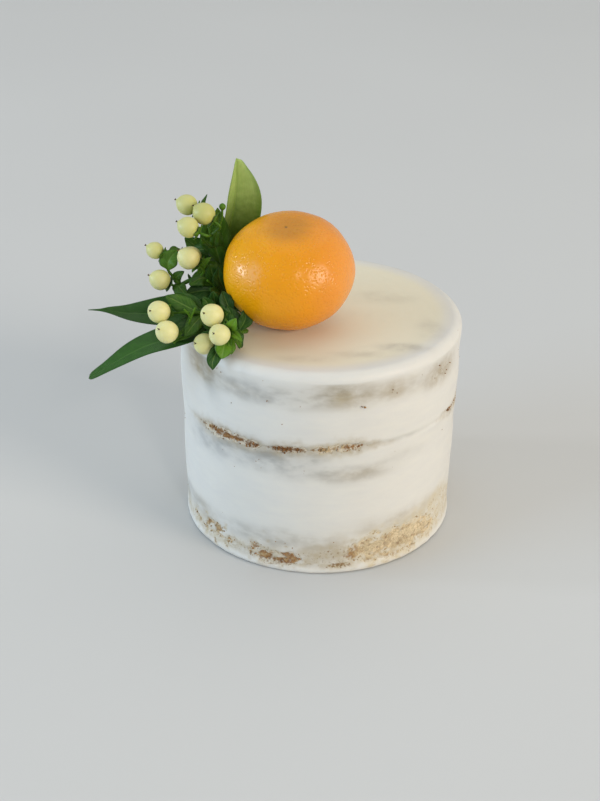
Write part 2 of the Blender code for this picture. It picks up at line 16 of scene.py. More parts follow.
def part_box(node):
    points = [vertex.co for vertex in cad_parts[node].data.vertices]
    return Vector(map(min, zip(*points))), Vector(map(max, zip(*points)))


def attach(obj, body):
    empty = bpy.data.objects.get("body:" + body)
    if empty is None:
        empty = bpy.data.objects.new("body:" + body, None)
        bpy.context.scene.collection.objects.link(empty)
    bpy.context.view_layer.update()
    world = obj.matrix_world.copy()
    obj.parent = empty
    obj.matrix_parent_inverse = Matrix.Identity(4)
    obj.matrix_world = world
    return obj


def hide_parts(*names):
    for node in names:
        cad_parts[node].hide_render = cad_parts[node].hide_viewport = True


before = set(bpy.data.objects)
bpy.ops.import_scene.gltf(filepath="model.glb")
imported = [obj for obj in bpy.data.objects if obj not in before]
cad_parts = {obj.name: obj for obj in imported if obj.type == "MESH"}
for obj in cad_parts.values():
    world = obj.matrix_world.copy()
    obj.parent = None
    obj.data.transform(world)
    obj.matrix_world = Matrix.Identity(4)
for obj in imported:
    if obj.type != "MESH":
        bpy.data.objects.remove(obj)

bl_info = {
    "name": "Naked cake looks",
    "version": (1, 0, 0),
    "blender": (4, 5, 0),
    "location": "View3D > Sidebar > Naked cake",
    "description": "Buttercream, crumb, fruit and leaves for a small naked cake",
    "category": "Object",
}

MM = 0.001
SEED = 11

# Cake
CAKE_HEIGHT = 121.3
BASE_RADIUS = 74.5
TOP_RADIUS = 76.5
RIM_ROUNDING = 5.5
RIM_HEIGHT = CAKE_HEIGHT - RIM_ROUNDING
RIM_CENTRE = TOP_RADIUS - RIM_ROUNDING
COAT_LIFT = 0.45
TOP_COAT = 3.4
BASE_BEAD = 0.8
COAT_RELIEF = 0.3
COAT_REACH = 76.42
SCRAPED_DEPTH = 0.8
BARE_REACH = 6.5
BARE_FADE = 8.0
HOLE_EDGE = -2.0
BASE_RAGGED = 3.0
LINE_RAGGED = 1.5
GAP = 0.3
UNDERSIDE = CAKE_HEIGHT - TOP_COAT
# How much nearer the edges of an opening come for each millimetre past its end
BASE_CLOSING = 0.5
LINE_CLOSING = 0.3
# Broad waves of the coat up the side: middle, half width, height
SIDE_WAVES = ((41, 16, 0.3), (62, 8, -0.3), (92, 8, 0.2), (104, 7, -0.4))
# Unevenness of torn edges, crumb and peel: amount, size and seed
EDGE_TEARS = ((0.9, 6.5, 2), (1.0, 2.8, 4), (0.5, 1.5, 5))
CRUMB_LUMPS = ((0.6, 3.2, 21), (0.6, 1.4, 22))
PEEL_DENTS = ((0.22, 16.0, 31), (0.06, 5.0, 32))

# Openings scraped through the coat at the base: from angle, to angle, lowest and highest edge
BASE_OPENINGS = (
    (-66, -36, 6.5, 15.5),
    (-30, -6, 5.5, 16.5),
    (12, 60, 5.0, 23.5),
    (84, 120, 5.5, 17.0),
    (138, 162, 6.5, 14.5),
    (180, 228, 5.0, 20.5),
    (246, 276, 6.0, 15.0),
)
# Openings along the middle layer's browned top edge: from angle, to angle, greatest height
LINE_OPENINGS = (
    (-54, -24, 4.2),
    (-18, -6, 2.6),
    (0, 18, 3.0),
    (66, 96, 2.8),
    (132, 180, 3.4),
    (216, 258, 3.0),
)
# Height of that edge at some angles round the cake
LINE_HEIGHTS = (
    (-180, 77.0), (-54, 75.6), (-24, 76.1), (0, 78.1), (14, 79.4), (40, 77.8), (66, 78.5),
    (120, 76.4), (180, 77.0),
)
# How browned the crumb is round the base and along the line, by angle
BASE_BROWNING = (
    (-180, 0.45), (-70, 0.4), (-44, 0.45), (-30, 0.75), (-6, 0.75), (8, 0.8), (14, 0.7), (18, 0.3),
    (24, 0.12), (60, 0.05), (100, 0.45), (180, 0.45),
)
LINE_BROWNING = (
    (-180, 0.95), (-54, 0.8), (-40, 1.0), (-8, 1.3), (2, 0.5), (9, 0.5), (15, 1.1), (180, 0.95),
)
# How much cream is smeared over the crumb of those openings, by angle
BASE_SMEAR = (
    (-180, 0.5), (-66, 2.4), (-38, 2.4), (-30, 0.8), (-21, 0.7), (-16, 1.8), (4, 1.6), (16, 0.5),
    (50, 0.5), (64, 0.35), (100, 0.6), (180, 0.5),
)
LINE_SMEAR = (
    (-180, 0.4), (-54, 0.1), (-30, 0.1), (-25, 0.5), (-16, 0.15), (-7, 0.3), (0, 0.6), (8, 0.3),
    (14, 0.05), (18, 0.8), (180, 0.4),
)

# Thin patches where the layers show through the coat, and strips of painted shade along the line:
# angle, height, half width in degrees, half height, strength, warmth
VEILS_AND_SHADE = (
    (-29, 107.0, 16, 6.0, 0.7, 0.15),
    (-52, 110.0, 11, 8.5, 1.0, 0.9),
    (-10, 106.5, 13, 6.0, 0.5, 0.35),
    (9, 109.5, 14, 7.5, 0.9, 0.75),
    (31, 108.5, 12, 6.0, 0.5, 0.9),
    (55, 108.0, 14, 8.0, 0.45, 0.5),
    (-50, 67.0, 16, 8.0, 0.55, 0.0),
    (-28, 71.0, 18, 8.5, 0.7, 0.1),
    (-10, 68.0, 15, 8.0, 0.6, 0.15),
    (13, 62.5, 17, 5.0, 0.65, 0.5),
    (36, 67.5, 12, 4.0, 0.2, 0.4),
    # These four are painted shade: a soft grey-brown shadow along the groove at the middle layer's browned
    # edge
    (-40, 76.0, 18, 4.2, 0.75, 0.6),
    (-12, 75.5, 18, 4.2, 0.75, 0.55),
    (9, 78.5, 14, 3.4, 0.6, 0.7),
    (32, 78.5, 14, 2.0, 0.3, 0.3),
    (-56, 18.0, 14, 7.0, 0.6, 0.6),
    (-33, 20.0, 9, 5.5, 0.45, 0.4),
    (-15, 20.0, 13, 7.0, 0.65, 0.45),
    (3, 15.0, 12, 10.0, 0.5, 0.9),
    (38, 27.0, 25, 6.0, 0.5, 1.0),
)
# Thin patches on the top: place across and back, half length and width, strength, warmth
TOP_VEILS = (
    (43.0, -43.5, 12.0, 4.5, 0.65, 0.5),
    (20.0, -52.0, 18.0, 3.5, 0.3, 0.8),
    (58.0, -22.0, 7.0, 12.0, 0.3, 0.6),
    (-8.0, -58.0, 16.0, 4.0, 0.3, 0.8),
    (35.0, 18.0, 18.0, 9.0, 0.2, 0.7),
    (-30.0, 45.0, 20.0, 8.0, 0.22, 0.6),
)
# How high the haze of crumb round the base reaches, by angle
BASE_HAZE = (
    (-180, 18.0), (-72, 18.0), (-45, 17.0), (-25, 18.0), (-12, 19.0), (0, 22.0), (12, 25.0),
    (40, 30.0), (62, 38.0), (90, 20.0), (180, 18.0),
)
HAZE = 0.7
# Spots scraped so thin that crumbs show: angle, height, half width in degrees, half height, strength
SCUFFS = (
    (56, 107.0, 11, 6.5, 0.75),
    (-52, 110.0, 8, 6.5, 0.6),
    (30, 109.5, 6, 5.0, 0.5),
    (12, 107.0, 8, 4.5, 0.45),
    (16, 62.0, 7, 2.5, 0.4),
    (-34, 106.0, 10, 4.0, 0.3),
    (9, 5.5, 9, 2.4, 1.0),
    (-16, 8.0, 12, 3.0, 0.8),
    (150, 106.0, 16, 6.0, 0.55),
    (-140, 66.0, 14, 4.0, 0.45),
    (105, 64.0, 12, 4.0, 0.4),
    (-100, 107.0, 14, 5.0, 0.5),
)
# Belts in which thin patches and stray crumbs fall by chance: heights, and how many patches
VEIL_BELTS = (15.0, 66.0, 108.0)
VEIL_COUNT = 15
# Heights between which the coat has a fine mesh, at the base and along the line
BASE_BAND = (4.2, 26.0)
LINE_BAND = (72.0, 83.0)
# The same for the bottom and the middle layer, with the rows' spacing and the number of columns
BOTTOM_CRUMB = (1.5, 28.0, 0.55, 780)
MIDDLE_CRUMB = (70.0, 81.2, 0.42, 900)
# How far a loose crumb is torn out of shape, the share of crumbs that lie along the line, and how
# many strays there are by chance
CRUMB_TEAR = 0.7
LINE_SHARE = 0.4
CHANCE_STRAYS = 60

# Strays seen on the coat: angle, height, radius
STRAY_CRUMBS = (
    (17.6, 102.0, 0.8), (16.5, 102.4, 0.5), (29.0, 109.0, 0.35), (31.0, 106.5, 0.3),
    (54.0, 112.0, 0.4), (59.0, 104.6, 0.4), (60.0, 106.0, 0.35), (63.0, 108.6, 0.45),
    (64.6, 78.7, 0.6), (-43.0, 114.0, 0.45), (-41.0, 112.5, 0.4), (-45.0, 115.5, 0.4),
    (-20.0, 104.0, 0.35), (-14.0, 92.0, 0.35), (-36.0, 97.0, 0.3),
)

# Mandarin
MANDARIN_SHOULDER = 0.88
MANDARIN_RADIUS = 34.3
MANDARIN_HALF_HEIGHT = 28.6
MANDARIN_CENTRE = (-16.9, -15.7, 29.25)
MANDARIN_LEAN = 12.0
MANDARIN_LEAN_TOWARDS = -15.0
MANDARIN_DIMPLE = 1.3
MANDARIN_DIMPLE_WIDTH = 0.26
MANDARIN_SEGMENTS = 9
MANDARIN_LOBES = 0.006
MANDARIN_CREASES = 0.07
# The tan patch round the scar: its width as an angle, and how strong it is
CROWN_WIDTH = 0.38
CROWN_STRENGTH = 0.54

# Berries: centre, the way the tip points, and radius
BERRIES = (
    ((-71.1, 4.0, 57.3), (-0.91, 0.19, 0.36), 5.4),
    ((-61.6, -4.0, 55.7), (-0.79, 0.02, 0.62), 5.7),
    ((-69.3, -11.0, 50.8), (-0.90, 0.20, 0.39), 5.4),
    ((-87.9, -4.0, 34.6), (-0.88, 0.22, 0.42), 4.5),
    ((-69.3, -14.0, 34.9), (-0.72, -0.14, 0.68), 5.8),
    ((-69.1, -1.0, 30.2), (-0.75, 0.30, 0.60), 5.3),
    ((-85.0, -12.0, 21.4), (-0.84, -0.24, 0.49), 5.4),
    ((-82.4, -42.0, 17.0), (-0.54, -0.73, 0.42), 5.7),
    ((-77.7, -50.0, 9.7), (-0.49, -0.69, 0.54), 5.8),
    ((-54.6, -50.0, 19.5), (-0.51, -0.71, 0.48), 5.8),
    ((-50.2, -60.0, 13.6), (-0.37, -0.79, 0.48), 5.4),
    ((-58.6, -53.0, 4.8), (-0.61, -0.69, 0.37), 5.4),
)
BERRY_STRETCH = 1.05
# How pale each berry is, from green 0 to ivory 1
BERRY_TONES = (0.3, 0.05, 0.45, 0.5, 0.85, 0.6, 0.7, 0.95, 1.0, 1.0, 0.85, 0.8)
BERRY_LOBES = 0.018
BERRY_POINT = 0.7
BERRY_SEAT = 0.5
STYLE_LENGTH = 1.3

# Sprigs: the stalk's knots; the twigs (berry, knot of the stalk, points on the way, bend near the
# berry, size of its sepals); and the bare shoots (knots, radius, tone)
SPRIGS = {
    "sprig_upper": {
        "stalk": (
            (-40.5, -1.0, 1.9),
            (-47.5, 2.0, 7.0),
            (-53.5, 4.0, 20.0),
            (-56.5, 3.0, 32.0),
            (-58.5, 0.5, 42.0),
        ),
        "twigs": (
            (1, 4, (), (0.5, 0.0, -1.0), 1.0),
            (2, 4, (), (0.0, 0.0, -1.0), 1.0),
            (3, 4, (), (1.0, 0.5, 0.0), 0.85),
        ),
        "shoots": (),
    },
    "sprig_middle": {
        "stalk": (
            (-41.5, -9.0, 1.9),
            (-48.5, -6.5, 9.0),
            (-57.0, -7.5, 17.5),
            (-65.0, -9.0, 21.5),
            (-74.5, -9.2, 17.5),
        ),
        "twigs": (
            (5, 3, (), (0.0, 0.0, -1.0), 1.0),
            (6, 3, (), (0.0, 1.0, -1.0), 1.0),
            (7, 4, (), (0.0, 0.0, 0.0), 1.0),
            (4, 4, ((-81.0, -8.0, 25.5),), (0.0, 0.0, 0.0), 0.85),
        ),
        "shoots": ((((-60.1, -12.0, 21.7), (-57.2, -10.0, 18.0), (-54.1, -9.0, 14.1)), 0.6, 0.8),),
    },
    "sprig_left": {
        "stalk": ((-43.0, -19.0, 1.9), (-50.0, -25.0, 6.5), (-58.0, -32.0, 11.5), (-66.0, -37.5, 15.0)),
        "twigs": (
            (8, 3, (), (0.5, 0.5, 0.0), 1.0),
            (9, 3, (), (1.0, 0.0, 0.0), 1.0),
        ),
        "shoots": (
            (((-68.2, -42.0, 8.1), (-65.9, -43.0, 14.3), (-63.6, -44.0, 20.4)), 0.6, 0.85),
            (((-65.9, -43.0, 14.3), (-67.6, -43.6, 17.3), (-69.2, -44.0, 19.7)), 0.5, 0.85),
        ),
    },
    "sprig_front": {
        "stalk": ((-38.5, -31.5, 1.9), (-41.5, -39.0, 5.0), (-45.5, -46.5, 10.0)),
        "twigs": (
            (10, 2, (), (0.5, 0.0, -0.5), 1.0),
            (11, 2, (), (0.0, 0.5, 0.0), 1.1),
            (12, 2, (), (0.5, 0.5, 1.5), 0.45),
        ),
        "shoots": (),
    },
}
# Small leaves of each sprig: knots, width, the way the upper side faces, tone from dark 0 to bright 1
SPRIG_LEAVES = {
    "sprig_upper": (
        (((-54.0, 4.0, 21.5), (-65.0, 8.5, 30.0), (-73.5, 9.5, 36.5)), 13.5, (-0.3, -0.8, 0.6), 0.3),
        (((-53.7, 4.0, 21.0), (-54.5, 8.5, 38.0), (-55.5, 9.0, 54.0)), 12.5, (-0.1, -1.0, 0.3), 0.42),
        (((-53.3, 3.7, 18.5), (-55.0, 1.5, 30.0), (-58.0, 0.5, 41.5)), 10.5, (-0.2, -0.9, 0.4), 0.3),
        (((-55.6, 3.4, 27.5), (-58.5, 5.0, 37.5), (-61.5, 5.0, 49.0)), 13.0, (0.0, -1.0, 0.3), 0.38),
        (((-56.8, 2.5, 33.0), (-60.0, -3.0, 38.5), (-63.0, -7.0, 43.5)), 5.0, (-0.4, -0.9, 0.3), 0.5),
        (((-57.0, 2.5, 34.0), (-56.0, -2.0, 41.0), (-54.0, -3.0, 48.0)), 5.5, (-0.1, -0.9, 0.4), 0.35),
        (((-56.0, 3.2, 30.0), (-64.0, 6.0, 31.5), (-70.5, 8.0, 28.5)), 8.5, (-0.2, -0.8, 0.6), 0.15),
        (((-60.5, 4.5, 50.0), (-63.0, 6.0, 56.0), (-60.7, 8.0, 62.0)), 2.6, (-0.2, -0.8, 0.2), 0.2),
        (((-52.5, 3.8, 17.0), (-48.5, 5.0, 27.0), (-47.0, 5.5, 36.0)), 9.0, (0.1, -0.9, 0.3), 0.15),
    ),
    "sprig_middle": (
        (((-56.5, -7.8, 17.0), (-62.0, -11.0, 22.5), (-69.5, -14.5, 20.0)), 10.0, (-0.2, -0.9, 0.5), 0.3),
        (((-74.0, -9.2, 17.7), (-75.0, -12.3, 17.9), (-70.7, -14.5, 13.5)), 8.5, (-0.4, -0.7, 0.6), 0.28),
        (((-50.0, -6.7, 10.6), (-54.0, -14.0, 15.0), (-58.0, -20.0, 20.0)), 8.5, (0.1, -0.8, 0.6), 0.15),
        (((-53.0, -6.9, 13.5), (-58.5, -4.5, 24.0), (-62.3, -4.0, 30.0)), 12.0, (0.0, -0.9, 0.4), 0.38),
        (((-51.5, -6.8, 12.0), (-61.5, -9.5, 14.4), (-72.6, -11.0, 12.9)), 11.0, (-0.1, -0.8, 0.6), 0.1),
        (((-80.7, -8.0, 25.3), (-80.3, -4.5, 29.5), (-76.0, -2.0, 33.8)), 9.5, (-0.5, -0.8, 0.2), 0.6),
        (((-80.5, -8.0, 25.5), (-79.5, -1.5, 34.0), (-73.5, 1.0, 33.0)), 2.8, (-0.3, -0.6, 0.7), 0.3),
        (((-74.3, -9.2, 17.8), (-76.5, -9.5, 21.5), (-72.5, -9.5, 25.5)), 5.5, (-0.3, -0.9, 0.2), 0.35),
        (((-60.5, -8.2, 19.5), (-66.5, -6.0, 15.0), (-70.5, -8.0, 23.0)), 5.5, (-0.4, -0.9, 0.2), 0.1),
        (((-54.0, -7.3, 14.5), (-57.0, -11.5, 24.0), (-58.0, -14.0, 31.5)), 7.5, (0.1, -0.9, 0.3), 0.15),
        (((-65.0, -9.2, 22.0), (-62.0, -12.5, 30.5), (-57.5, -13.5, 35.5)), 4.2, (0.2, -0.8, 0.5), 0.75),
        (((-51.5, -6.8, 12.0), (-59.5, -3.0, 17.0), (-66.0, 0.5, 18.5)), 9.5, (-0.1, -0.8, 0.6), 0.08),
        (((-48.5, -6.5, 9.0), (-53.0, -13.0, 22.0), (-53.5, -16.0, 30.5)), 9.0, (0.0, -0.9, 0.3), 0.05),
        (((-80.9, -8.5, 25.4), (-80.2, -8.5, 31.0), (-75.8, -6.0, 36.0)), 11.0, (-0.3, -0.9, 0.2), 0.55),
    ),
    "sprig_left": (
        (((-63.0, -35.5, 14.0), (-71.5, -33.0, 17.5), (-80.0, -32.0, 21.5)), 10.0, (-0.2, -0.7, 0.7), 0.22),
        (((-60.0, -33.5, 12.5), (-64.5, -42.0, 10.5), (-69.0, -48.0, 6.0)), 8.5, (0.1, -0.6, 0.8), 0.3),
        (((-59.0, -32.5, 12.0), (-67.0, -29.5, 17.0), (-76.0, -27.5, 21.5)), 7.5, (-0.2, -0.8, 0.5), 0.12),
        (((-61.5, -34.5, 13.2), (-66.0, -42.5, 8.0), (-74.5, -46.0, 2.0)), 8.0, (-0.1, -0.7, 0.7), 0.4),
        (((-57.5, -31.6, 11.2), (-66.0, -39.0, 8.5), (-74.5, -44.0, 5.5)), 14.0, (-0.1, -0.6, 0.8), 0.1),
        (((-54.0, -28.5, 9.0), (-62.0, -33.0, 7.5), (-71.0, -37.0, 6.5)), 10.0, (-0.1, -0.5, 0.9), 0.1),
        (((-56.0, -30.5, 10.5), (-57.5, -32.0, 16.5), (-60.5, -33.0, 21.5)), 8.0, (-0.1, -0.9, 0.3), 0.1),
        (((-50.0, -25.0, 6.5), (-54.0, -29.0, 15.0), (-55.5, -31.0, 24.0)), 9.0, (0.0, -0.9, 0.3), 0.04),
    ),
    "sprig_front": (
        (((-42.0, -40.0, 5.6), (-44.5, -37.5, 11.0), (-48.0, -35.5, 18.0)), 9.0, (0.2, -0.9, 0.4), 0.1),
        (
            ((-45.5, -46.5, 9.7), (-50.5, -55.0, 4.5), (-53.2, -63.5, 1.5), (-53.6, -65.8, -3.5)),
            8.0,
            (0.0, -0.5, 0.9),
            0.0,
        ),
        (((-45.0, -45.5, 9.3), (-42.5, -52.0, 8.5), (-40.0, -58.0, 5.0)), 5.5, (0.2, -0.5, 0.9), 0.45),
        # Painted shade: this leaf's near-black tone stands for the deep shadow between the front sprig and
        # the mandarin
        (((-45.0, -45.5, 9.3), (-42.5, -49.0, 8.0), (-39.5, -52.0, 2.5)), 8.0, (0.4, -0.6, 0.7), 0.02),
        (((-41.8, -39.5, 5.4), (-38.5, -37.5, 12.0), (-39.0, -36.5, 17.5)), 8.5, (0.4, -0.8, 0.5), 0.08),
        (((-46.2, -50.0, 11.5), (-44.5, -57.0, 16.5), (-42.0, -58.5, 22.0)), 6.4, (-0.2, -0.95, 0.1), 0.95),
        (((-46.0, -50.0, 11.0), (-42.5, -57.0, 12.0), (-38.8, -60.5, 10.2)), 4.6, (0.1, -0.8, 0.6), 0.85),
        (((-46.5, -51.0, 10.5), (-48.0, -60.0, 6.5), (-49.0, -64.0, 2.0)), 9.5, (0.0, -0.9, 0.4), 0.8),
        (((-46.2, -51.0, 10.3), (-44.5, -58.5, 7.0), (-44.3, -61.5, 3.3)), 4.6, (0.2, -0.9, 0.3), 0.7),
        (((-43.5, -42.5, 7.5), (-52.0, -44.0, 9.5), (-60.0, -45.0, 12.0)), 9.5, (-0.1, -0.8, 0.6), 0.08),
        (((-44.5, -45.0, 9.0), (-52.5, -49.5, 7.0), (-60.5, -48.0, 8.5)), 8.0, (-0.1, -0.7, 0.7), 0.1),
        (((-42.5, -41.0, 6.5), (-48.0, -43.0, 14.0), (-50.0, -45.0, 22.0)), 8.5, (0.0, -0.9, 0.3), 0.05),
        (((-45.0, -35.5, 13.0), (-48.2, -33.5, 18.5), (-50.6, -31.5, 24.5)), 8.0, (0.3, -0.9, 0.3), 0.02),
    ),
}
# The upper sprig's bud: its place, a point on its twig, its radius, and its ends below and above
BUD = (-52.3, 2.0, 57.5)
BUD_TWIG = (-53.3, 2.0, 49.0)
BUD_RADIUS = 1.9
BUD_ENDS = (-2.2, 1.8)
STEM_RADIUS = 1.25
TWIG_RADIUS = 0.75
PETIOLE_RADIUS = 0.5
SEPALS = 5
SEPAL_REACH = 5.4
SEPAL_WIDTH = 4.4
LEAF_THICKNESS = 0.55
LEAF_FOOT = 0.12
LEAF_RIPPLES = 2.5
MARGIN_THINNING = 0.75
MIDRIB_GROOVE = 0.18
MIDRIB_WIDTH = 0.45

# Large leaves: knots, the shape's numbers as leaf_sheet takes them, and tones along the leaf
# The tones hold painted light and shade: each leaf's dark foot is painted shade under the mandarin and the
# sprigs, and the upright leaf's bright tip is painted light shining through it
LARGE_LEAVES = {
    "leaf_upright": (
        (
            (-46.0, 13.0, 1.3),
            (-50.6, 17.5, 17.0),
            (-50.8, 20.0, 34.0),
            (-48.0, 21.0, 50.0),
            (-46.5, 22.0, 63.5),
            (-45.9, 22.0, 76.9),
        ),
        {
            "width": 31.0,
            "face": (0.6, -0.79, 0.1),
            "fold": 36.0,
            "wave": 0.4,
            "widest": 0.57,
            "taper": 0.76,
            "tip": 0.3,
            "kept": 0.72,
        },
        # Tones: a dark foot of painted shade behind the mandarin, and a bright tip of painted light through
        # the leaf
        ((0.0, 0.05), (0.4, 0.15), (0.6, 0.4), (0.78, 0.82), (1.0, 1.0)),
    ),
    "leaf_long": (
        (
            (-42.0, -4.5, 1.2),
            (-55.0, -12.3, 5.4),
            (-79.7, -17.0, 4.8),
            (-100.0, -20.5, 5.4),
            (-112.0, -22.8, 8.2),
            (-121.8, -24.0, 8.9),
        ),
        {
            "width": 19.0,
            "face": (0.0, -0.55, 0.85),
            "fold": 14.0,
            "wave": 0.5,
            "widest": 0.36,
            "taper": 2.2,
            "tip": 0.06,
        },
        # Tones: darkest at the foot, painted shade where the leaf runs in under the mandarin
        ((0.0, 0.05), (0.3, 0.3), (0.6, 0.2), (1.0, 0.25)),
    ),
    "leaf_low": (
        (
            (-46.0, -28.0, 1.3),
            (-62.0, -37.0, 3.4),
            (-79.6, -42.0, 1.2),
            (-97.4, -46.0, -5.2),
            (-119.2, -50.0, -18.0),
        ),
        {
            "width": 18.0,
            "face": (-0.1, -0.3, 0.95),
            "fold": 10.0,
            "wave": 0.4,
            "widest": 0.5,
            "tip": 0.42,
        },
        # Tones: darkest at the foot, painted shade where the leaf runs in under the mandarin and the front
        # sprig
        ((0.0, 0.05), (0.3, 0.25), (0.6, 0.35), (1.0, 0.3)),
    ),
}

# How much darker the upright leaf is on its right side than on its left, towards its foot
UPRIGHT_SHADE = 0.9

# Camera: place, turn (yaw, pitch down, roll) and lens of the viewpoint
CAMERA_PLACE = (0.0, -0.67194, 0.43786)
CAMERA_YAW = -0.01588
CAMERA_PITCH = 0.50672
CAMERA_ROLL = 0.01054
CAMERA_LENS = 61.57

# Room light, and the lamps, aimed at one place: name, place, width and height in metres, watts, colour
ROOM_COLOUR = "E6EAEE"
ROOM_STRENGTH = 0.53
LAMP_TARGET = (0.0, 0.0, 0.08)
LIGHTS = (
    ("right window", (3.1, -2.1, 1.3), (1.4, 1.8), 92.0, "FFF2E4"),
    ("left window", (-3.1, -1.3, 1.2), (1.8, 2.2), 47.0, "B8DCFF"),
    ("side window", (-3.3, 0.1, 0.6), (0.4, 0.5), 31.0, "F0F6FF"),
    ("front window", (1.0, -2.9, 2.0), (0.32, 0.4), 13.0, "FFF8EE"),
    ("ceiling bounce", (0.2, 1.2, 3.4), (4.5, 4.5), 42.0, "FFFCF4"),
)
FLOOR_DROP = 0.05


# Settings


def length_setting(name, description, default, least, most):
    return FloatProperty(
        name=name, description=description, default=default, min=least, max=most, unit="LENGTH"
    )


def count_setting(name, description, default, least, most):
    return IntProperty(name=name, description=description, default=default, min=least, max=most)


def colour_setting(name, description, default):
    return FloatVectorProperty(
        name=name, description=description, default=default, size=3, min=0.0, max=1.0, subtype="COLOR"
    )


class CoatSettings(bpy.types.PropertyGroup):
    thickness: length_setting(
        "Coat thickness", "Thickness of the scraped buttercream on the side", 2.2 * MM, 1.0 * MM, 4.0 * MM
    )
    columns: count_setting("Columns", "Columns of the coat's mesh round the cake", 520, 120, 540)
    cream: colour_setting("Buttercream", "Colour of the buttercream", (0.66, 0.65, 0.605))


class CrumbSettings(bpy.types.PropertyGroup):
    depth: length_setting(
        "Crumb depth", "How far the bare crumb lies behind the coat's surface", 0.4 * MM, 0.2 * MM, 2.0 * MM
    )
    roughness: length_setting("Crumb relief", "Height of the torn crumb's relief", 0.4 * MM, 0.0, 1.0 * MM)
    loose: count_setting("Loose crumbs", "Number of crumbs caught along the openings", 520, 0, 2000)
    pale: colour_setting("Inner crumb", "Colour of the cut crumb", (0.69, 0.57, 0.37))
    brown: colour_setting("Browned crumb", "Colour of the baked edge", (0.20, 0.09, 0.028))


class MandarinSettings(bpy.types.PropertyGroup):
    pore_spacing: length_setting(
        "Pore spacing", "Distance between the oil glands of the peel", 1.5 * MM, 0.8 * MM, 4.0 * MM
    )
    pore_depth: length_setting("Pore depth", "Depth of the oil glands", 0.07 * MM, 0.0, 0.5 * MM)
    peel: colour_setting("Peel", "Colour of the peel", (0.71, 0.255, 0.006))


class GreenerySettings(bpy.types.PropertyGroup):
    berry: colour_setting("Berry skin", "Colour of the ripe ivory berries", (0.73, 0.70, 0.34))
    dark: colour_setting("Dark leaf", "Colour of the darkest leaves", (0.018, 0.066, 0.010))
    bright: colour_setting("Bright leaf", "Colour of the young leaves and sepals", (0.115, 0.25, 0.014))
    leaf_thickness: length_setting(
        "Leaf thickness", "Thickness of the leaves", LEAF_THICKNESS * MM, 0.2 * MM, 1.0 * MM
    )


class StageSettings(bpy.types.PropertyGroup):
    floor_size: length_setting("Floor size", "Side of the square floor", 12.0, 1.0, 100.0)
    floor: colour_setting("Floor", "Colour of the floor", (0.60, 0.605, 0.59))


# Small helpers


def smooth(value):
    """0 below 0, 1 above 1, with an eased step between."""
    value = np.clip(value, 0.0, 1.0)
    return value * value * (3.0 - 2.0 * value)


def mound(value, middle, width):
    return np.exp(-(((value - middle) / width) ** 2))


def spread(start, end, step):
    """Even values from start up to, but not with, end."""
    count = max(1, round((end - start) / step))
    return [start + (end - start) * i / count for i in range(count)]


def rough(points, size, seed):
    """Gradient noise, about -1 to 1, at points in millimetres, with features of the given size."""
    shift = Vector((seed * 7.3, seed * 3.1, seed * 1.7))
    scale = 1.0 / size
    return np.array([noise.noise(Vector(point) * scale + shift) for point in np.asarray(points).tolist()])


def uneven(points, layers):
    """Noise summed from layers of amount, size in millimetres and seed."""
    return sum(amount * rough(points, size, seed) for amount, size, seed in layers)


def cells(points, size, seed):
    """Distance to the nearest cell's middle, in cells."""
    shift = Vector((seed * 5.9, seed * 2.3, seed * 4.7))
    scale = 1.0 / size
    places = np.asarray(points).tolist()
    return np.array([noise.voronoi(Vector(place) * scale + shift)[0][0] for place in places])


def above(point):
    """A point given from the cake's top, as a vector from its base."""
    return Vector(point) + Vector((0.0, 0.0, CAKE_HEIGHT))


def on_circle(radius, angle, z):
    turn = math.radians(angle)
    return Vector((radius * math.sin(turn), -radius * math.cos(turn), z))


def circle_points(radius, angles, z):
    """Points on the cake's side, as rows, from arrays of radius, angle and height."""
    turns = np.radians(angles)
    flat = np.broadcast_arrays(radius * np.sin(turns), -radius * np.cos(turns), z)
    return np.stack(flat, axis=-1)


def aligned(direction):
    """The turn that takes +Z to the direction."""
    return Vector((0, 0, 1)).rotation_difference(Vector(direction).normalized()).to_matrix()


def read_table(table, angle):
    angles, values = zip(*table)
    return np.interp((np.asarray(angle) + 180.0) % 360.0 - 180.0, angles, values)


def side_radius(z):
    return BASE_RADIUS + (TOP_RADIUS - BASE_RADIUS) * z / CAKE_HEIGHT


def set_in_scene(name, data):
    """An object that shows a mesh, a lamp or a camera."""
    made = bpy.data.objects.new(name, data)
    bpy.context.scene.collection.objects.link(made)
    return made


def give_values(mesh, fields):
    """Adds named values at a mesh's points."""
    for name, values in fields.items():
        layer = mesh.attributes.new(name, "FLOAT", "POINT")
        layer.data.foreach_set("value", np.asarray(values, np.float32))


def make_piece(name, points, faces, material, fields=None, surface=None):
    """A smooth mesh from points in millimetres, with named point values and a surface map."""
    mesh = bpy.data.meshes.new(name)
    mesh.from_pydata((np.asarray(points, float) * MM).tolist(), [], faces)
    edit = bmesh.new()
    edit.from_mesh(mesh)
    bmesh.ops.recalc_face_normals(edit, faces=edit.faces)
    edit.to_mesh(mesh)
    edit.free()
    give_values(mesh, fields or {})
    if surface is not None:
        corners = np.empty(len(mesh.loops), np.int32)
        mesh.loops.foreach_get("vertex_index", corners)
        layer = mesh.uv_layers.new(name="Surface")
        layer.data.foreach_set("uv", np.asarray(surface, np.float32)[corners].ravel())
    mesh.shade_smooth()
    mesh.materials.append(material)
    return set_in_scene(name, mesh)


def adopt(piece, nodes):
    """Puts a finished piece on the cake in place of its solids."""
    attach(piece, "root")
    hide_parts(*nodes)


def ring_faces(rows, columns):
    """Quads between rings of points, closed round the ring."""
    row, column = np.meshgrid(np.arange(rows - 1), np.arange(columns), indexing="ij")
    after = (column + 1) % columns
    low = row * columns
    high = low + columns
    return np.stack([low + column, low + after, high + after, high + column], axis=-1).reshape(-1, 4)


def fan(first, columns, pole):
    """Triangles from a ring to a pole."""
    return [(first + i, first + (i + 1) % columns, pole) for i in range(columns)]


# Node helpers


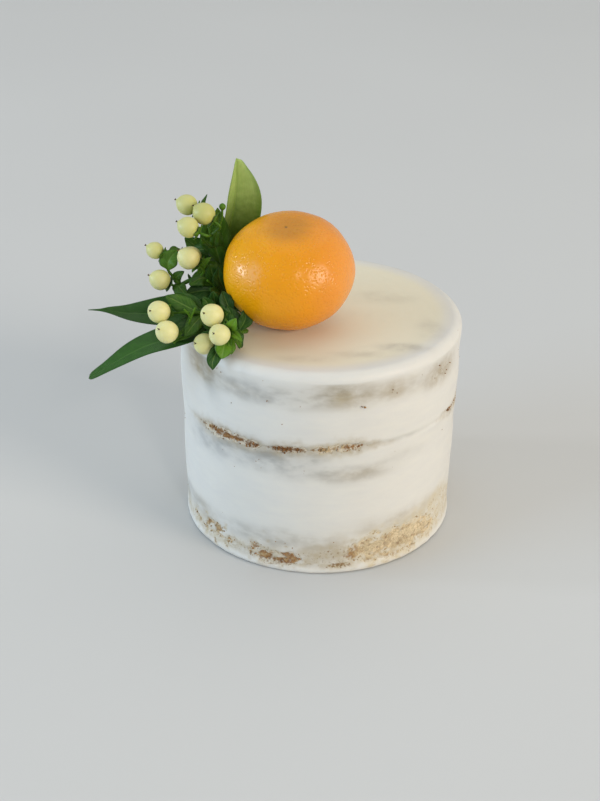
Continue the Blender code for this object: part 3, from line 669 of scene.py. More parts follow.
def feed(tree, node, inputs):
    """Sets or links a node's inputs by name or number."""
    for name, value in inputs.items():
        if isinstance(value, bpy.types.NodeSocket):
            tree.links.new(value, node.inputs[name])
        else:
            node.inputs[name].default_value = value


def add(tree, kind, settings=None, inputs=None):
    """A node with its settings, and its inputs set or linked."""
    made = tree.nodes.new(kind)
    for name, value in (settings or {}).items():
        setattr(made, name, value)
    feed(tree, made, inputs or {})
    return made


def linear(code):
    """A linear colour from an sRGB hex value."""
    channels = [int(code[i : i + 2], 16) / 255 for i in (0, 2, 4)]
    return (*(c / 12.92 if c <= 0.04045 else ((c + 0.055) / 1.055) ** 2.4 for c in channels), 1.0)


def new_material(name):
    """A material, its tree, its Principled shader and its object coordinates."""
    material = bpy.data.materials.new(name)
    material.use_nodes = True
    tree = material.node_tree
    place = add(tree, "ShaderNodeTexCoord").outputs["Object"]
    return material, tree, tree.nodes["Principled BSDF"], place


def cycles_per_metre(size):
    """Texture scale for features of a size in millimetres."""
    return 1.0 / (size * MM)


def stops(ramp, *pairs):
    """Sets a colour ramp's places and grey levels or colours."""
    while len(ramp.elements) < len(pairs):
        ramp.elements.new(0.5)
    for element, (place, value) in zip(ramp.elements, pairs):
        element.position = place
        element.color = value if isinstance(value, tuple) else (value, value, value, 1.0)


def mix_colour(tree, factor, first, second, blend="MIX"):
    settings = {"data_type": "RGBA", "blend_type": blend}
    return add(tree, "ShaderNodeMix", settings, {0: factor, 6: first, 7: second}).outputs[2]


def field(tree, name):
    """The value of a mesh attribute."""
    return add(tree, "ShaderNodeAttribute", {"attribute_name": name}).outputs["Fac"]


def squeezed(tree, place, factor):
    """Coordinates scaled upwards only, so that patterns run flat round the cake."""
    inputs = {"Vector": place, "Scale": (1.0, 1.0, factor)}
    return add(tree, "ShaderNodeMapping", {"vector_type": "POINT"}, inputs).outputs[0]


def noise_at(tree, place, size, detail, roughness):
    """Noise with features of a size in millimetres."""
    inputs = {"Vector": place, "Scale": cycles_per_metre(size), "Detail": detail, "Roughness": roughness}
    return add(tree, "ShaderNodeTexNoise", inputs=inputs).outputs["Fac"]


def remap(tree, value, low, high, first, last):
    """A value stretched from low and high to first and last, and held between them."""
    inputs = {"Value": value, "From Min": low, "From Max": high, "To Min": first, "To Max": last}
    return add(tree, "ShaderNodeMapRange", inputs=inputs).outputs[0]


def calc(tree, operation, first, second):
    return add(tree, "ShaderNodeMath", {"operation": operation}, {0: first, 1: second}).outputs[0]


def scaled(tree, vector, factor):
    inputs = {0: vector, "Scale": factor}
    return add(tree, "ShaderNodeVectorMath", {"operation": "SCALE"}, inputs).outputs[0]


def bumped(tree, height, strength, depth, below=None, inward=False):
    """A normal raised by a height over a depth in millimetres, on top of the one below it."""
    inputs = {"Height": height, "Strength": strength, "Distance": depth * MM}
    if below is not None:
        inputs["Normal"] = below
    return add(tree, "ShaderNodeBump", {"invert": inward}, inputs).outputs[0]


def glow_under(weight, radius, depth):
    """Shader inputs for light that goes a depth in millimetres under the surface."""
    names = ("Subsurface Weight", "Subsurface Radius", "Subsurface Scale")
    return dict(zip(names, (weight, radius, depth * MM)))


def gland_distance(tree, inputs):
    """Distance to the nearest oil gland of the peel, in spacings."""
    settings = {"feature": "SMOOTH_F1"}
    inputs = {**inputs, "Smoothness": 0.35, "Randomness": 0.9}
    return add(tree, "ShaderNodeTexVoronoi", settings, inputs).outputs["Distance"]


# Materials


def buttercream(settings):
    """Buttercream, spread with a palette knife and scraped: satin, off-white, stained where thin, with
    painted shade along the line.
    """
    material, tree, shader, place = new_material("buttercream, scraped")
    blotches = noise_at(tree, squeezed(tree, place, 1.9), 10.0, 3.0, 0.5)
    streaks = noise_at(tree, squeezed(tree, place, 3.5), 15.0, 4.0, 0.6)
    clouds = noise_at(tree, place, 4.0, 4.0, 0.65)
    grains = noise_at(tree, place, 1.4, 3.0, 0.65)
    veil_and_shade = field(tree, "veil_and_shade")
    bare = field(tree, "bare")
    crust = field(tree, "crust")
    patchy = remap(tree, blotches, 0.36, 0.62, 0.4, 1.12)
    streaky = remap(tree, streaks, 0.32, 0.68, 0.8, 1.15)
    broken = calc(tree, "MULTIPLY", patchy, streaky)
    # The layers' colour tints the thin patches, and also the strips of painted grey-brown shade along the
    # line
    through = calc(tree, "MULTIPLY", veil_and_shade, broken)
    layer = mix_colour(tree, field(tree, "warmth"), linear("9B9D9B"), linear("A2957B"))
    tint = remap(tree, streaks, 0.3, 0.7, 0.0, 0.6)
    cream = mix_colour(tree, tint, (*settings.cream, 1.0), linear("DCDAD0"))
    warmed = mix_colour(tree, field(tree, "top"), cream, linear("E2DCC4"))
    coated = mix_colour(tree, through, warmed, layer)
    film = remap(tree, clouds, 0.36, 0.6, 0.3, 1.0)
    hazy = calc(tree, "MULTIPLY", bare, film)
    tan = mix_colour(tree, crust, linear("CCBE9A"), linear("A99B80"))
    stained = mix_colour(tree, hazy, coated, tan)
    near = remap(tree, bare, 0.3, 1.0, -0.25, 0.13)
    peppered = calc(tree, "ADD", grains, near)
    specks = remap(tree, peppered, 0.56, 0.66, 0.0, 0.85)
    crumb = mix_colour(tree, crust, linear("A28350"), linear("70502A"))
    speckled = mix_colour(tree, specks, stained, crumb)
    low = bumped(tree, streaks, 0.08, 0.6)
    finish = {
        "Base Color": speckled,
        "Roughness": remap(tree, clouds, 0.3, 0.7, 0.42, 0.6),
        "Normal": bumped(tree, grains, 0.12, 0.2, below=low),
        "IOR": 1.42,
    }
    feed(tree, shader, finish | glow_under(0.15, (1.0, 0.85, 0.7), 2.0))
    return material


def sponge(settings):
    """Vanilla sponge, torn by the scraper: matt open crumb, browned where it met the tin."""
    material, tree, shader, place = new_material("vanilla sponge, torn crumb")
    mottle = noise_at(tree, place, 2.4, 4.0, 0.7)
    patches = noise_at(tree, place, 9.0, 3.0, 0.6)
    fine = noise_at(tree, place, 0.8, 3.0, 0.6)
    wander = remap(tree, mottle, 0.34, 0.66, -0.42, 0.36)
    baked = calc(tree, "ADD", field(tree, "crust"), wander)
    ramp = add(tree, "ShaderNodeValToRGB", inputs={"Fac": baked})
    stops(
        ramp.color_ramp,
        (0.0, (*settings.pale, 1.0)),
        (0.4, linear("AE9268")),
        (0.75, linear("8E6436")),
        (1.0, (*settings.brown, 1.0)),
    )
    pale_only = remap(tree, baked, 0.3, 0.8, 1.0, 0.0)
    greying = calc(tree, "MULTIPLY", remap(tree, patches, 0.4, 0.65, 0.0, 0.5), pale_only)
    greyed = mix_colour(tree, greying, ramp.outputs[0], linear("A89878"))
    # Painted shade: the crumb is darkened brown in its pores, where shade falls into them
    pit_shade = remap(tree, field(tree, "pit"), 0.0, 1.0, 0.0, 0.55)
    shaded_pits = mix_colour(tree, pit_shade, greyed, linear("6A4221"))
    tinted = mix_colour(tree, 1.0, shaded_pits, remap(tree, fine, 0.35, 0.65, 0.8, 1.15), blend="MULTIPLY")
    smears = calc(tree, "ADD", field(tree, "smear"), remap(tree, mottle, 0.35, 0.65, -0.45, 0.45))
    creamy = mix_colour(tree, remap(tree, smears, 0.1, 0.8, 0.0, 0.88), tinted, linear("D0C8B4"))
    crumbly = bumped(tree, fine, 0.5, 0.5)
    feed(tree, shader, {"Base Color": creamy, "Roughness": 0.88, "Normal": crumbly, "IOR": 1.4})
    return material


def mandarin_peel(settings):
    """Mandarin peel, waxed: glossy orange skin with pitted oil glands, tan and duller about its scar, with
    a painted pale sheen on its right side.
    """
    material, tree, shader, place = new_material("mandarin peel, waxed")
    crown = field(tree, "crown")
    across = add(tree, "ShaderNodeSeparateXYZ", inputs={0: place})
    side = remap(tree, across.outputs["X"], -0.05, 0.004, 0.0, 1.0)
    drift = noise_at(tree, place, 22.0, 3.0, 0.5)
    glands = gland_distance(tree, {"Vector": place, "Scale": 1.0 / settings.pore_spacing})
    pores = remap(tree, glands, 0.05, 0.45, 0.0, 1.0)
    golden = mix_colour(tree, side, linear("F2AA08"), (*settings.peel, 1.0))
    ripened = mix_colour(tree, remap(tree, drift, 0.35, 0.65, 0.0, 0.3), golden, linear("D88408"))
    dotted = mix_colour(tree, 0.02, ripened, pores, blend="MULTIPLY")
    # Painted sheen: the right side is paled towards pink, where light from the right glances off the peel
    right_sheen = remap(tree, across.outputs["X"], -0.006, 0.017, 0.0, 0.5)
    sheened = mix_colour(tree, right_sheen, dotted, linear("F2A65A"))
    paled = mix_colour(tree, crown, sheened, linear("A26C1A"))
    scarred = mix_colour(tree, field(tree, "scar"), paled, linear("6A5230"))
    finish = {
        "Base Color": scarred,
        "Roughness": remap(tree, crown, 0.0, 1.0, 0.26, 0.55),
        "Normal": bumped(tree, pores, 0.36, 0.5),
        "IOR": 1.4,
    }
    feed(tree, shader, finish | glow_under(0.12, (1.0, 0.5, 0.15), 2.0))
    return material


def berry_skin(settings):
    """Ripe hypericum berry: waxy ivory skin, greener towards its stalk, with a brown dry style."""
    material, tree, shader, place = new_material("hypericum berry skin, waxy")
    drift = noise_at(tree, place, 3.5, 4.0, 0.6)
    foot = remap(tree, field(tree, "along"), 0.0, 0.5, 0.85, 0.0)
    ivory = mix_colour(tree, field(tree, "tone"), linear("B9B970"), (*settings.berry, 1.0))
    fresh = mix_colour(tree, foot, ivory, linear("A4B04E"))
    mottled = mix_colour(tree, remap(tree, drift, 0.35, 0.7, 0.0, 0.3), fresh, linear("C4C176"))
    tipped = mix_colour(tree, field(tree, "style"), mottled, linear("3D2A17"))
    dented = bumped(tree, drift, 0.1, 0.2)
    finish = {"Base Color": tipped, "Roughness": 0.42, "Normal": dented, "IOR": 1.42}
    feed(tree, shader, finish | glow_under(0.25, (1.0, 0.9, 0.4), 2.0))
    return material


def leaf_material(name, colours, gloss, slant, strength):
    """A leaf's skin: a pale midrib and side veins that run off it, mottled between them.

    Colours are those of dark leaf, bright leaf and veins.
    """
    deep, fresh, vein = colours
    material, tree, shader, place = new_material(name)
    on_leaf = add(tree, "ShaderNodeTexCoord").outputs["UV"]
    surface = add(tree, "ShaderNodeSeparateXYZ", inputs={0: on_leaf})
    off = calc(tree, "ABSOLUTE", calc(tree, "SUBTRACT", surface.outputs["X"], 0.5), 0.0)
    rib = remap(tree, off, 0.012, 0.05, 1.0, 0.0)
    slide = calc(tree, "MULTIPLY", off, slant[0])
    rise = calc(tree, "MULTIPLY", surface.outputs["Y"], slant[1])
    phase = calc(tree, "SUBTRACT", rise, slide)
    bent = calc(tree, "ADD", phase, calc(tree, "MULTIPLY", noise_at(tree, place, 7.0, 3.0, 0.5), 1.6))
    wave = calc(tree, "PINGPONG", bent, 0.5)
    side_veins = remap(tree, wave, 0.0, 0.13, 0.45, 0.0)
    veins = calc(tree, "MAXIMUM", rib, side_veins)
    on_blade = calc(tree, "MULTIPLY", veins, field(tree, "blade"))
    mottle = noise_at(tree, place, 3.0, 5.0, 0.6)
    green = calc(tree, "ADD", field(tree, "tone"), remap(tree, mottle, 0.3, 0.7, -0.12, 0.12))
    clamped = remap(tree, green, 0.0, 1.0, 0.0, 1.0)
    body = mix_colour(tree, clamped, deep, fresh)
    margin = mix_colour(tree, remap(tree, off, 0.36, 0.5, 0.0, 0.6), body, deep)
    veined = mix_colour(tree, calc(tree, "MULTIPLY", on_blade, strength), margin, vein)
    sunken = bumped(tree, on_blade, 0.4, 0.3, inward=True)
    finish = {
        "Base Color": veined,
        "Roughness": gloss,
        "Normal": bumped(tree, mottle, 0.18, 0.2, below=sunken),
        "IOR": 1.4,
        "Specular IOR Level": 0.28,
    }
    feed(tree, shader, finish | glow_under(0.06, (0.3, 1.0, 0.1), 1.0))
    return material


def painted_floor(settings):
    """Studio floor, matt emulsion on board: pale grey with the faintest unevenness."""
    material, tree, shader, place = new_material("studio floor, matt emulsion")
    level = remap(tree, noise_at(tree, place, 620.0, 2.0, 0.5), 0.3, 0.7, 0.98, 1.02)
    colour = mix_colour(tree, 1.0, (*settings.floor, 1.0), level, blend="MULTIPLY")
    feed(tree, shader, {"Base Color": colour, "Roughness": 0.8})
    return material


# Openings in the coat


def opening_at(angle, openings):
    """The opening that covers the angle and how far along it the angle is, or None."""
    for opening in openings:
        along = ((angle - opening[0]) % 360) / (opening[1] - opening[0])
        if along <= 1:
            return opening, along
    return None


def arc_to(angle, end):
    """Arc in millimetres between two angles on the cake's side."""
    return math.radians(abs((angle - end + 180) % 360 - 180)) * side_radius(CAKE_HEIGHT / 2)


def nearest_opening(angle, openings):
    """The opening with the nearest end, and the arc to that end."""
    return min(((min(arc_to(angle, o[0]), arc_to(angle, o[1])), o) for o in openings))


def swell(along):
    return max(math.sin(math.pi * along), 0.0) ** 0.4


def base_edges(angle):
    """Lower and upper edge of the bare band at the base; crossed over where the coat is whole."""
    found = opening_at(angle, BASE_OPENINGS)
    arc, opening = nearest_opening(angle, BASE_OPENINGS) if found is None else (0.0, found[0])
    low, high = opening[2:]
    middle = low + 0.35 * (high - low)
    if found is None:
        return middle + BASE_CLOSING * arc, middle - BASE_CLOSING * arc
    reach = swell(found[1])
    return middle - (middle - low) * reach, middle + (high - middle) * reach


def line_edges(angle):
    """Lower and upper edge of the bare line at the middle layer's top; crossed over where whole."""
    middle = float(read_table(LINE_HEIGHTS, angle))
    found = opening_at(angle, LINE_OPENINGS)
    if found is None:
        arc = nearest_opening(angle, LINE_OPENINGS)[0]
        return middle + LINE_CLOSING * arc, middle - LINE_CLOSING * arc
    half = found[0][2] * swell(found[1]) / 2
    return middle - half, middle + half


def beyond_edges(angles, heights, edges, ragged, smear):
    """How far points lie beyond a band's torn edge; below 0 where the crumb is bare."""
    low, high = np.array([edges(angle) for angle in angles]).T
    grid_angles, grid_heights = np.meshgrid(angles, heights)
    points = circle_points(side_radius(0.0), grid_angles, grid_heights).reshape(-1, 3)
    torn = uneven(points, EDGE_TEARS)
    smears = np.maximum(rough(points * (1.0, 1.0, 1.6), 5.0, 7) + 0.2, 0.0)
    apart = np.maximum(low - grid_heights, grid_heights - high)
    above_edge = smooth((grid_heights - low - 0.5 * ragged) / ragged)
    cover = 4.2 * ragged * read_table(smear, grid_angles) * smears.reshape(grid_heights.shape) * above_edge
    return apart + ragged * torn.reshape(grid_heights.shape) + cover


def coat_beyond(angles, heights):
    """How far points of the coat lie beyond the torn edges, and how browned the crumb is there."""
    base = beyond_edges(angles, heights, base_edges, BASE_RAGGED, BASE_SMEAR)
    line = beyond_edges(angles, heights, line_edges, LINE_RAGGED, LINE_SMEAR)
    browning = np.where(base < line, read_table(BASE_BROWNING, angles), read_table(LINE_BROWNING, angles))
    return np.minimum(base, line), browning


def veil_and_shade_patches():
    """The seen thin patches and strips of painted shade, and more thin patches by chance on the sides that
    the viewpoint doesn't show.
    """
    draw = random.Random(SEED)
    patches = list(VEILS_AND_SHADE)
    for number in range(VEIL_COUNT):
        belt = VEIL_BELTS[number % len(VEIL_BELTS)]
        patches.append(
            (
                draw.uniform(78, 285),
                belt + draw.uniform(-4, 4),
                draw.uniform(7, 16),
                draw.uniform(4, 7),
                draw.uniform(0.35, 0.65),
                draw.uniform(0.0, 0.8),
            )
        )
    return patches


def patch_share(apart, half_width, rise, half_height):
    """How far points lie in an oval patch with a soft edge, 1 at its middle."""
    return np.exp(-(((apart / half_width) ** 2 + (rise / half_height) ** 2) ** 1.5))


def patch_on_side(angles, heights, patch):
    angle, height, half_angle, half_height = patch[:4]
    apart = (angles - angle + 180) % 360 - 180
    return patch_share(apart, half_angle, heights - height, half_height)


def patch_on_top(points, patch):
    across, back, length, width = patch[:4]
    return patch_share(points[..., 0] - across, length, points[..., 1] - back, width)


def through_and_shade_patches(shares, patches):
    """How far overlapping patches tint the coat, where the layers show through and where shade is painted
    along the line, and how warm they look there.
    """
    clear, warm, total = 1.0, 0.0, 1e-6
    for share, patch in zip(shares, patches):
        strength, warmth = patch[4:]
        clear = clear * (1 - strength * share)
        warm = warm + warmth * share
        total = total + share
    return 1 - clear, warm / total


def haze_at(angles, heights):
    """How far a thin haze of crumb stains the coat round the base, up to a ragged edge."""
    top = read_table(BASE_HAZE, angles)
    points = circle_points(side_radius(0.0), angles, heights).reshape(-1, 3)
    ragged = 3.0 * rough(points * (1.0, 1.0, 1.5), 9.0, 14).reshape(heights.shape)
    return smooth((top + ragged - heights) / 9.0) * smooth((heights - 3.0) / 3.0)


def scuffs_at(angles, heights):
    """How bare the coat is scuffed away from the openings."""
    return np.max([scuff[4] * patch_on_side(angles, heights, scuff) for scuff in SCUFFS], axis=0)


# The coat


def coat_rows():
    """Rows of the coat from its foot over the rim to the middle: kind, place, kept on the inside."""
    foot, low = BASE_BAND
    line, high = LINE_BAND
    heights = spread(COAT_LIFT, foot, 0.6) + spread(foot, low, 0.75) + spread(low, line, 3.0)
    heights += spread(line, high, 0.5) + spread(high, RIM_HEIGHT, 2.7) + [RIM_HEIGHT]
    banded = [z <= low or line <= z <= high or z == RIM_HEIGHT for z in heights]
    rows = [("side", z, kept) for z, kept in zip(heights, banded)]
    rows += [("rim", lean, lean % 30 == 0) for lean in range(10, 91, 10)]
    rows += [("top", share, i % 8 == 7) for i, share in enumerate(reversed(spread(0.04, 0.98, 0.036)))]
    return rows


def side_swelling(angles, heights):
    """How far the coat's surface lies outside its plain cone."""
    swelling = BASE_BEAD * mound(heights, 2.4, 2.0)
    for middle, width, height in SIDE_WAVES:
        swelling += height * mound(heights, middle, width)
    swelling -= 0.7 * smooth((1.4 - heights) / 1.4)
    points = circle_points(1.0, angles, heights / 60).reshape(-1, 3)
    swelling += COAT_RELIEF * rough(points, 0.4, 3).reshape(heights.shape)
    around = circle_points(side_radius(0.0), angles, heights).reshape(-1, 3)
    swelling += 0.35 * mound(heights, 2.0, 3.0) * rough(around, 5.0, 10).reshape(heights.shape)
    swelling += 0.16 * rough(around * (1.0, 1.0, 2.2), 15.0, 6).reshape(heights.shape)
    line = read_table(LINE_HEIGHTS, angles)
    deep = 0.4 + 0.35 * rough(circle_points(1.0, angles, 0.0).reshape(-1, 3), 0.5, 8).reshape(heights.shape)
    return swelling - deep * mound(heights, line, 1.1)


def top_relief(angles, shares):
    """Height of the top's knife marks about its plain level."""
    radius = RIM_CENTRE * shares
    points = circle_points(radius, angles, 0.0).reshape(-1, 3)
    broad = COAT_RELIEF * shares * rough(points, 46.0, 5).reshape(angles.shape)
    turns = np.radians(angles)
    swirl = radius * 0.42 + turns + 1.6 * rough(points, 30.0, 9).reshape(angles.shape)
    ridges = (1.0 - np.abs(np.sin(swirl))) ** 2.5
    fade = smooth(0.5 + 1.1 * rough(points, 24.0, 12).reshape(angles.shape))
    return broad + 0.22 * ridges * fade - 0.1 - COAT_RELIEF / 2 * smooth((1 - shares) * 4)


def rim_row(angles, lean, shoulder, coat):
    """Outer and inner points of a row round the rim, at a lean in degrees from the side."""
    turn = math.radians(lean)
    radius = RIM_CENTRE + RIM_ROUNDING * math.cos(turn) + shoulder * math.cos(turn)
    relief = top_relief(angles, np.ones(len(angles))) * lean / 90
    level = RIM_HEIGHT + RIM_ROUNDING * math.sin(turn) + relief
    outer = circle_points(np.minimum(radius, COAT_REACH), angles, level)
    inset = 3.3 * (lean / 90) ** 2.6
    level = np.full(len(angles), RIM_HEIGHT + (UNDERSIDE - RIM_HEIGHT) * math.sin(turn))
    return outer, circle_points(side_radius(UNDERSIDE) - coat - inset, angles, level)


def top_row(angles, share):
    """Outer and inner points of a row on the top, at a share of its radius."""
    relief = top_relief(angles, np.full(len(angles), share))
    outer = circle_points(RIM_CENTRE * share, angles, CAKE_HEIGHT + relief)
    return outer, circle_points(RIM_CENTRE * share * 0.98, angles, np.full(len(angles), UNDERSIDE))


def coat_surfaces(coat, columns):
    """Outer and inner points of the coat, row by row, with its holes and its point values."""
    angles = np.arange(columns) * 360.0 / columns
    rows = coat_rows()
    side = np.array([place for kind, place, kept in rows if kind == "side"])
    grid_angles, grid_heights = np.meshgrid(angles, side)
    beyond, browning = coat_beyond(angles, side)
    patches = veil_and_shade_patches()
    veil_and_shade, warmth = through_and_shade_patches([patch_on_side(grid_angles, grid_heights, p) for p in patches], patches)
    full = coat + side_swelling(grid_angles, grid_heights) - 0.2 * veil_and_shade
    scraped = full - SCRAPED_DEPTH * smooth((1.8 - beyond) / 3.6)
    inside = side_radius(grid_heights) - coat
    outer = [circle_points(np.minimum(inside + scraped, COAT_REACH), grid_angles, grid_heights)]
    inner = [circle_points(inside, grid_angles, grid_heights)]
    shoulder = full[-1] - coat
    for kind, place, kept in rows[len(side) :]:
        rim = kind == "rim"
        over, under = rim_row(angles, place, shoulder, coat) if rim else top_row(angles, place)
        outer.append(over[None])
        inner.append(under[None])
    over = np.vstack(outer[1:])
    rest = np.zeros((len(rows) - len(side), columns))
    top_veil, top_warmth = through_and_shade_patches([patch_on_top(over, p) for p in TOP_VEILS], TOP_VEILS)
    stained = np.maximum(smooth((BARE_REACH - beyond) / BARE_FADE), scuffs_at(grid_angles, grid_heights))
    stained = np.maximum(stained, HAZE * haze_at(grid_angles, grid_heights))
    values = {
        "veil_and_shade": np.vstack([veil_and_shade, top_veil]),
        "warmth": np.vstack([warmth, top_warmth]),
        "bare": np.vstack([stained, rest]),
        "crust": np.vstack([browning, rest]),
        "top": np.vstack([veil_and_shade * 0, smooth((RIM_CENTRE - np.hypot(over[..., 0], over[..., 1])) / 9.0)]),
    }
    hole = np.vstack([beyond < HOLE_EDGE, rest > 1])
    kept = [kept for kind, place, kept in rows]
    return np.vstack(outer), np.vstack(inner), hole, kept, values


def hole_walls(cut, level, columns):
    """Quads between the outer and the inner surface round each hole."""
    faces = []
    for row, column in zip(*(found.tolist() for found in np.nonzero(cut))):
        beside = (column + 1) % columns
        sides = (
            (row - 1, column, (row, column), (row, beside)),
            (row, beside, (row, beside), (row + 1, beside)),
            (row + 1, column, (row + 1, beside), (row + 1, column)),
            (row, (column - 1) % columns, (row + 1, column), (row, column)),
        )
        for near_row, near_column, first, second in sides:
            if not cut[near_row, near_column]:
                outside = (first[0] * columns + first[1], second[0] * columns + second[1])
                inside = (level[second[0]] + second[1], level[first[0]] + first[1])
                faces.append(outside + inside)
    return faces


def coat_mesh(coat, columns):
    """Points, faces and values of the closed shell of buttercream."""
    outer, inner, hole, kept, values = coat_surfaces(coat, columns)
    rows = len(outer)
    kept_rows = [row for row in range(rows) if kept[row] or row == rows - 1]
    shift = rows * columns
    level = {row: shift + i * columns for i, row in enumerate(kept_rows)}
    points = np.vstack([outer.reshape(-1, 3), inner[kept_rows].reshape(-1, 3)])
    after = np.roll(np.arange(columns), -1)
    gone = hole & hole[:, after]
    cut = np.zeros((rows, columns), bool)
    cut[:-1] = gone[:-1] & gone[1:]
    faces = []
    for row in range(rows - 1):
        for column in np.nonzero(~cut[row])[0].tolist():
            beside = (column + 1) % columns
            low, high = row * columns, (row + 1) * columns
            faces.append((low + column, low + beside, high + beside, high + column))
    for low, high in zip(kept_rows, kept_rows[1:]):
        for column in range(columns):
            if cut[low, column] and high == low + 1:
                continue
            beside = (column + 1) % columns
            first, second = level[low], level[high]
            faces.append((first + column, second + column, second + beside, first + beside))
    faces += hole_walls(cut, level, columns)
    foot = range(columns)
    faces += [(i, level[0] + i, level[0] + (i + 1) % columns, (i + 1) % columns) for i in foot]
    poles = np.array([[0, 0, CAKE_HEIGHT - COAT_RELIEF / 2], [0, 0, UNDERSIDE]])
    faces += fan((rows - 1) * columns, columns, len(points))
    faces += fan(level[rows - 1], columns, len(points) + 1)
    points = np.vstack([points, poles])
    extra = len(points) - shift
    fields = {name: np.concatenate([grid.ravel(), np.zeros(extra)]) for name, grid in values.items()}
    return points, faces, fields


# The layers


def crumb_surface(angles, heights, plan, settings, coat):
    """Radius of a layer's side, torn and raised in its openings, with its point values."""
    edges, ragged, smear, browning = plan
    grid_angles, grid_heights = np.meshgrid(angles, heights)
    inside = side_radius(grid_heights) - coat
    beyond = beyond_edges(angles, heights, edges, ragged, smear)
    raised = smooth((2.4 - beyond) / 1.6)
    points = circle_points(inside, grid_angles, grid_heights).reshape(-1, 3)
    shape = grid_heights.shape
    lumps = uneven(points, CRUMB_LUMPS)
    pores = smooth((0.36 - cells(points, 2.3, 23) + 0.22 * rough(points, 2.0, 24)) / 0.2)
    depth = settings.depth / MM
    height = settings.roughness / MM
    relief = height * (lumps - pores).reshape(shape)
    swelling = side_swelling(grid_angles, grid_heights)
    radius = inside - GAP + raised * (GAP + coat + swelling - depth + relief)
    crust = read_table(browning, grid_angles) + 0.3 * rough(points, 7.0, 25).reshape(shape)
    crust += 0.45 * smooth((7.6 - grid_heights) / 2.5) * (grid_heights > 3)
    film = smooth((beyond / ragged + 1.2) / 1.5)
    return radius, {"pit": pores.reshape(shape), "crust": crust, "smear": film}


def layer_mesh(foot, top, band, plan, settings, coat):
    """A sponge layer with a fine band on its side: points, faces and values."""
    start, end, spacing, columns = band
    angles = np.arange(columns) * 360.0 / columns
    heights = np.array([foot, *spread(start, end, spacing), top])
    radius, values = crumb_surface(angles, heights, plan, settings, coat)
    grid_angles, grid_heights = np.meshgrid(angles, heights)
    points = circle_points(radius, grid_angles, grid_heights).reshape(-1, 3)
    last = (len(heights) - 1) * columns
    faces = ring_faces(len(heights), columns).tolist()
    faces += [(b, a, c) for a, b, c in fan(0, columns, len(points))]
    faces += fan(last, columns, len(points) + 1)
    points = np.vstack([points, [[0, 0, foot], [0, 0, top]]])
    fields = {name: np.concatenate([grid.ravel(), [0, 0]]) for name, grid in values.items()}
    return points, faces, fields


def crumb_places(settings):
    """Places, sizes and tones of the loose crumbs caught along the openings, and a few strays."""
    draw = random.Random(SEED + 1)
    places = []
    bands = (
        (BASE_OPENINGS, base_edges, BASE_BROWNING, 1.5),
        (LINE_OPENINGS, line_edges, LINE_BROWNING, 0.6),
    )
    while len(places) < settings.loose:
        openings, edges, browning, scatter = bands[draw.random() < LINE_SHARE]
        opening = draw.choice(openings)
        angle = draw.uniform(opening[0], opening[1])
        low, high = edges(angle)
        at_edge = draw.random() < 0.5
        z = draw.choice((low, high)) + draw.gauss(0, scatter) if at_edge else draw.uniform(low, high)
        radius = side_radius(z) - settings.depth / MM + draw.uniform(-0.3, 0.3)
        brown = float(read_table(browning, angle))
        if draw.random() > 0.35 + 0.65 * brown:
            continue
        size = draw.uniform(0.22, 0.7)
        places.append((on_circle(radius, angle, max(z, 1.0)), size, brown + draw.uniform(-0.25, 0.2)))
    for angle, z, size in STRAY_CRUMBS:
        places.append((on_circle(side_radius(z) + 0.15, angle, z), size, 0.85))
    for _ in range(CHANCE_STRAYS):
        z = draw.choice(VEIL_BELTS) + draw.gauss(0, 5)
        angle = draw.uniform(-180, 180)
        places.append((on_circle(side_radius(z) + 0.05, angle, z), draw.uniform(0.15, 0.32), 0.8))
    return places


def crumb_seeds(settings):
    """An object with a point for each loose crumb, which has its size and tone."""
    places, sizes, tones = zip(*crumb_places(settings))
    mesh = bpy.data.meshes.new("crumb places")
    mesh.from_pydata([tuple(place * MM) for place in places], [], [])
    give_values(mesh, {"size": sizes, "crust": tones})
    return set_in_scene("crumb places", mesh)


def geometry_tree(name, numbers):
    """A geometry tree, its input node, and the identifiers of its named number inputs."""
    tree = bpy.data.node_groups.new(name, "GeometryNodeTree")
    new_socket = tree.interface.new_socket
    new_socket("Geometry", in_out="INPUT", socket_type="NodeSocketGeometry")
    found = [new_socket(label, in_out="INPUT", socket_type=kind).identifier for label, kind in numbers]
    new_socket("Geometry", in_out="OUTPUT", socket_type="NodeSocketGeometry")
    return tree, tree.nodes.new("NodeGroupInput"), found


def followed(tree, kind, geometry, inputs=None):
    """The geometry after one more node."""
    return add(tree, kind, inputs={"Geometry": geometry, **(inputs or {})}).outputs[0]


def random_vector(tree, seed, least, most):
    """A vector for each point, drawn between two others."""
    inputs = {"Min": least, "Max": most, "Seed": seed}
    return add(tree, "FunctionNodeRandomValue", {"data_type": "FLOAT_VECTOR"}, inputs).outputs["Value"]


def lead_out(tree, geometry, material):
    """Gives the geometry its material and leads it out of the tree."""
    finished = followed(tree, "GeometryNodeSetMaterial", geometry, {"Material": material})
    add(tree, "NodeGroupOutput", inputs={"Geometry": finished})


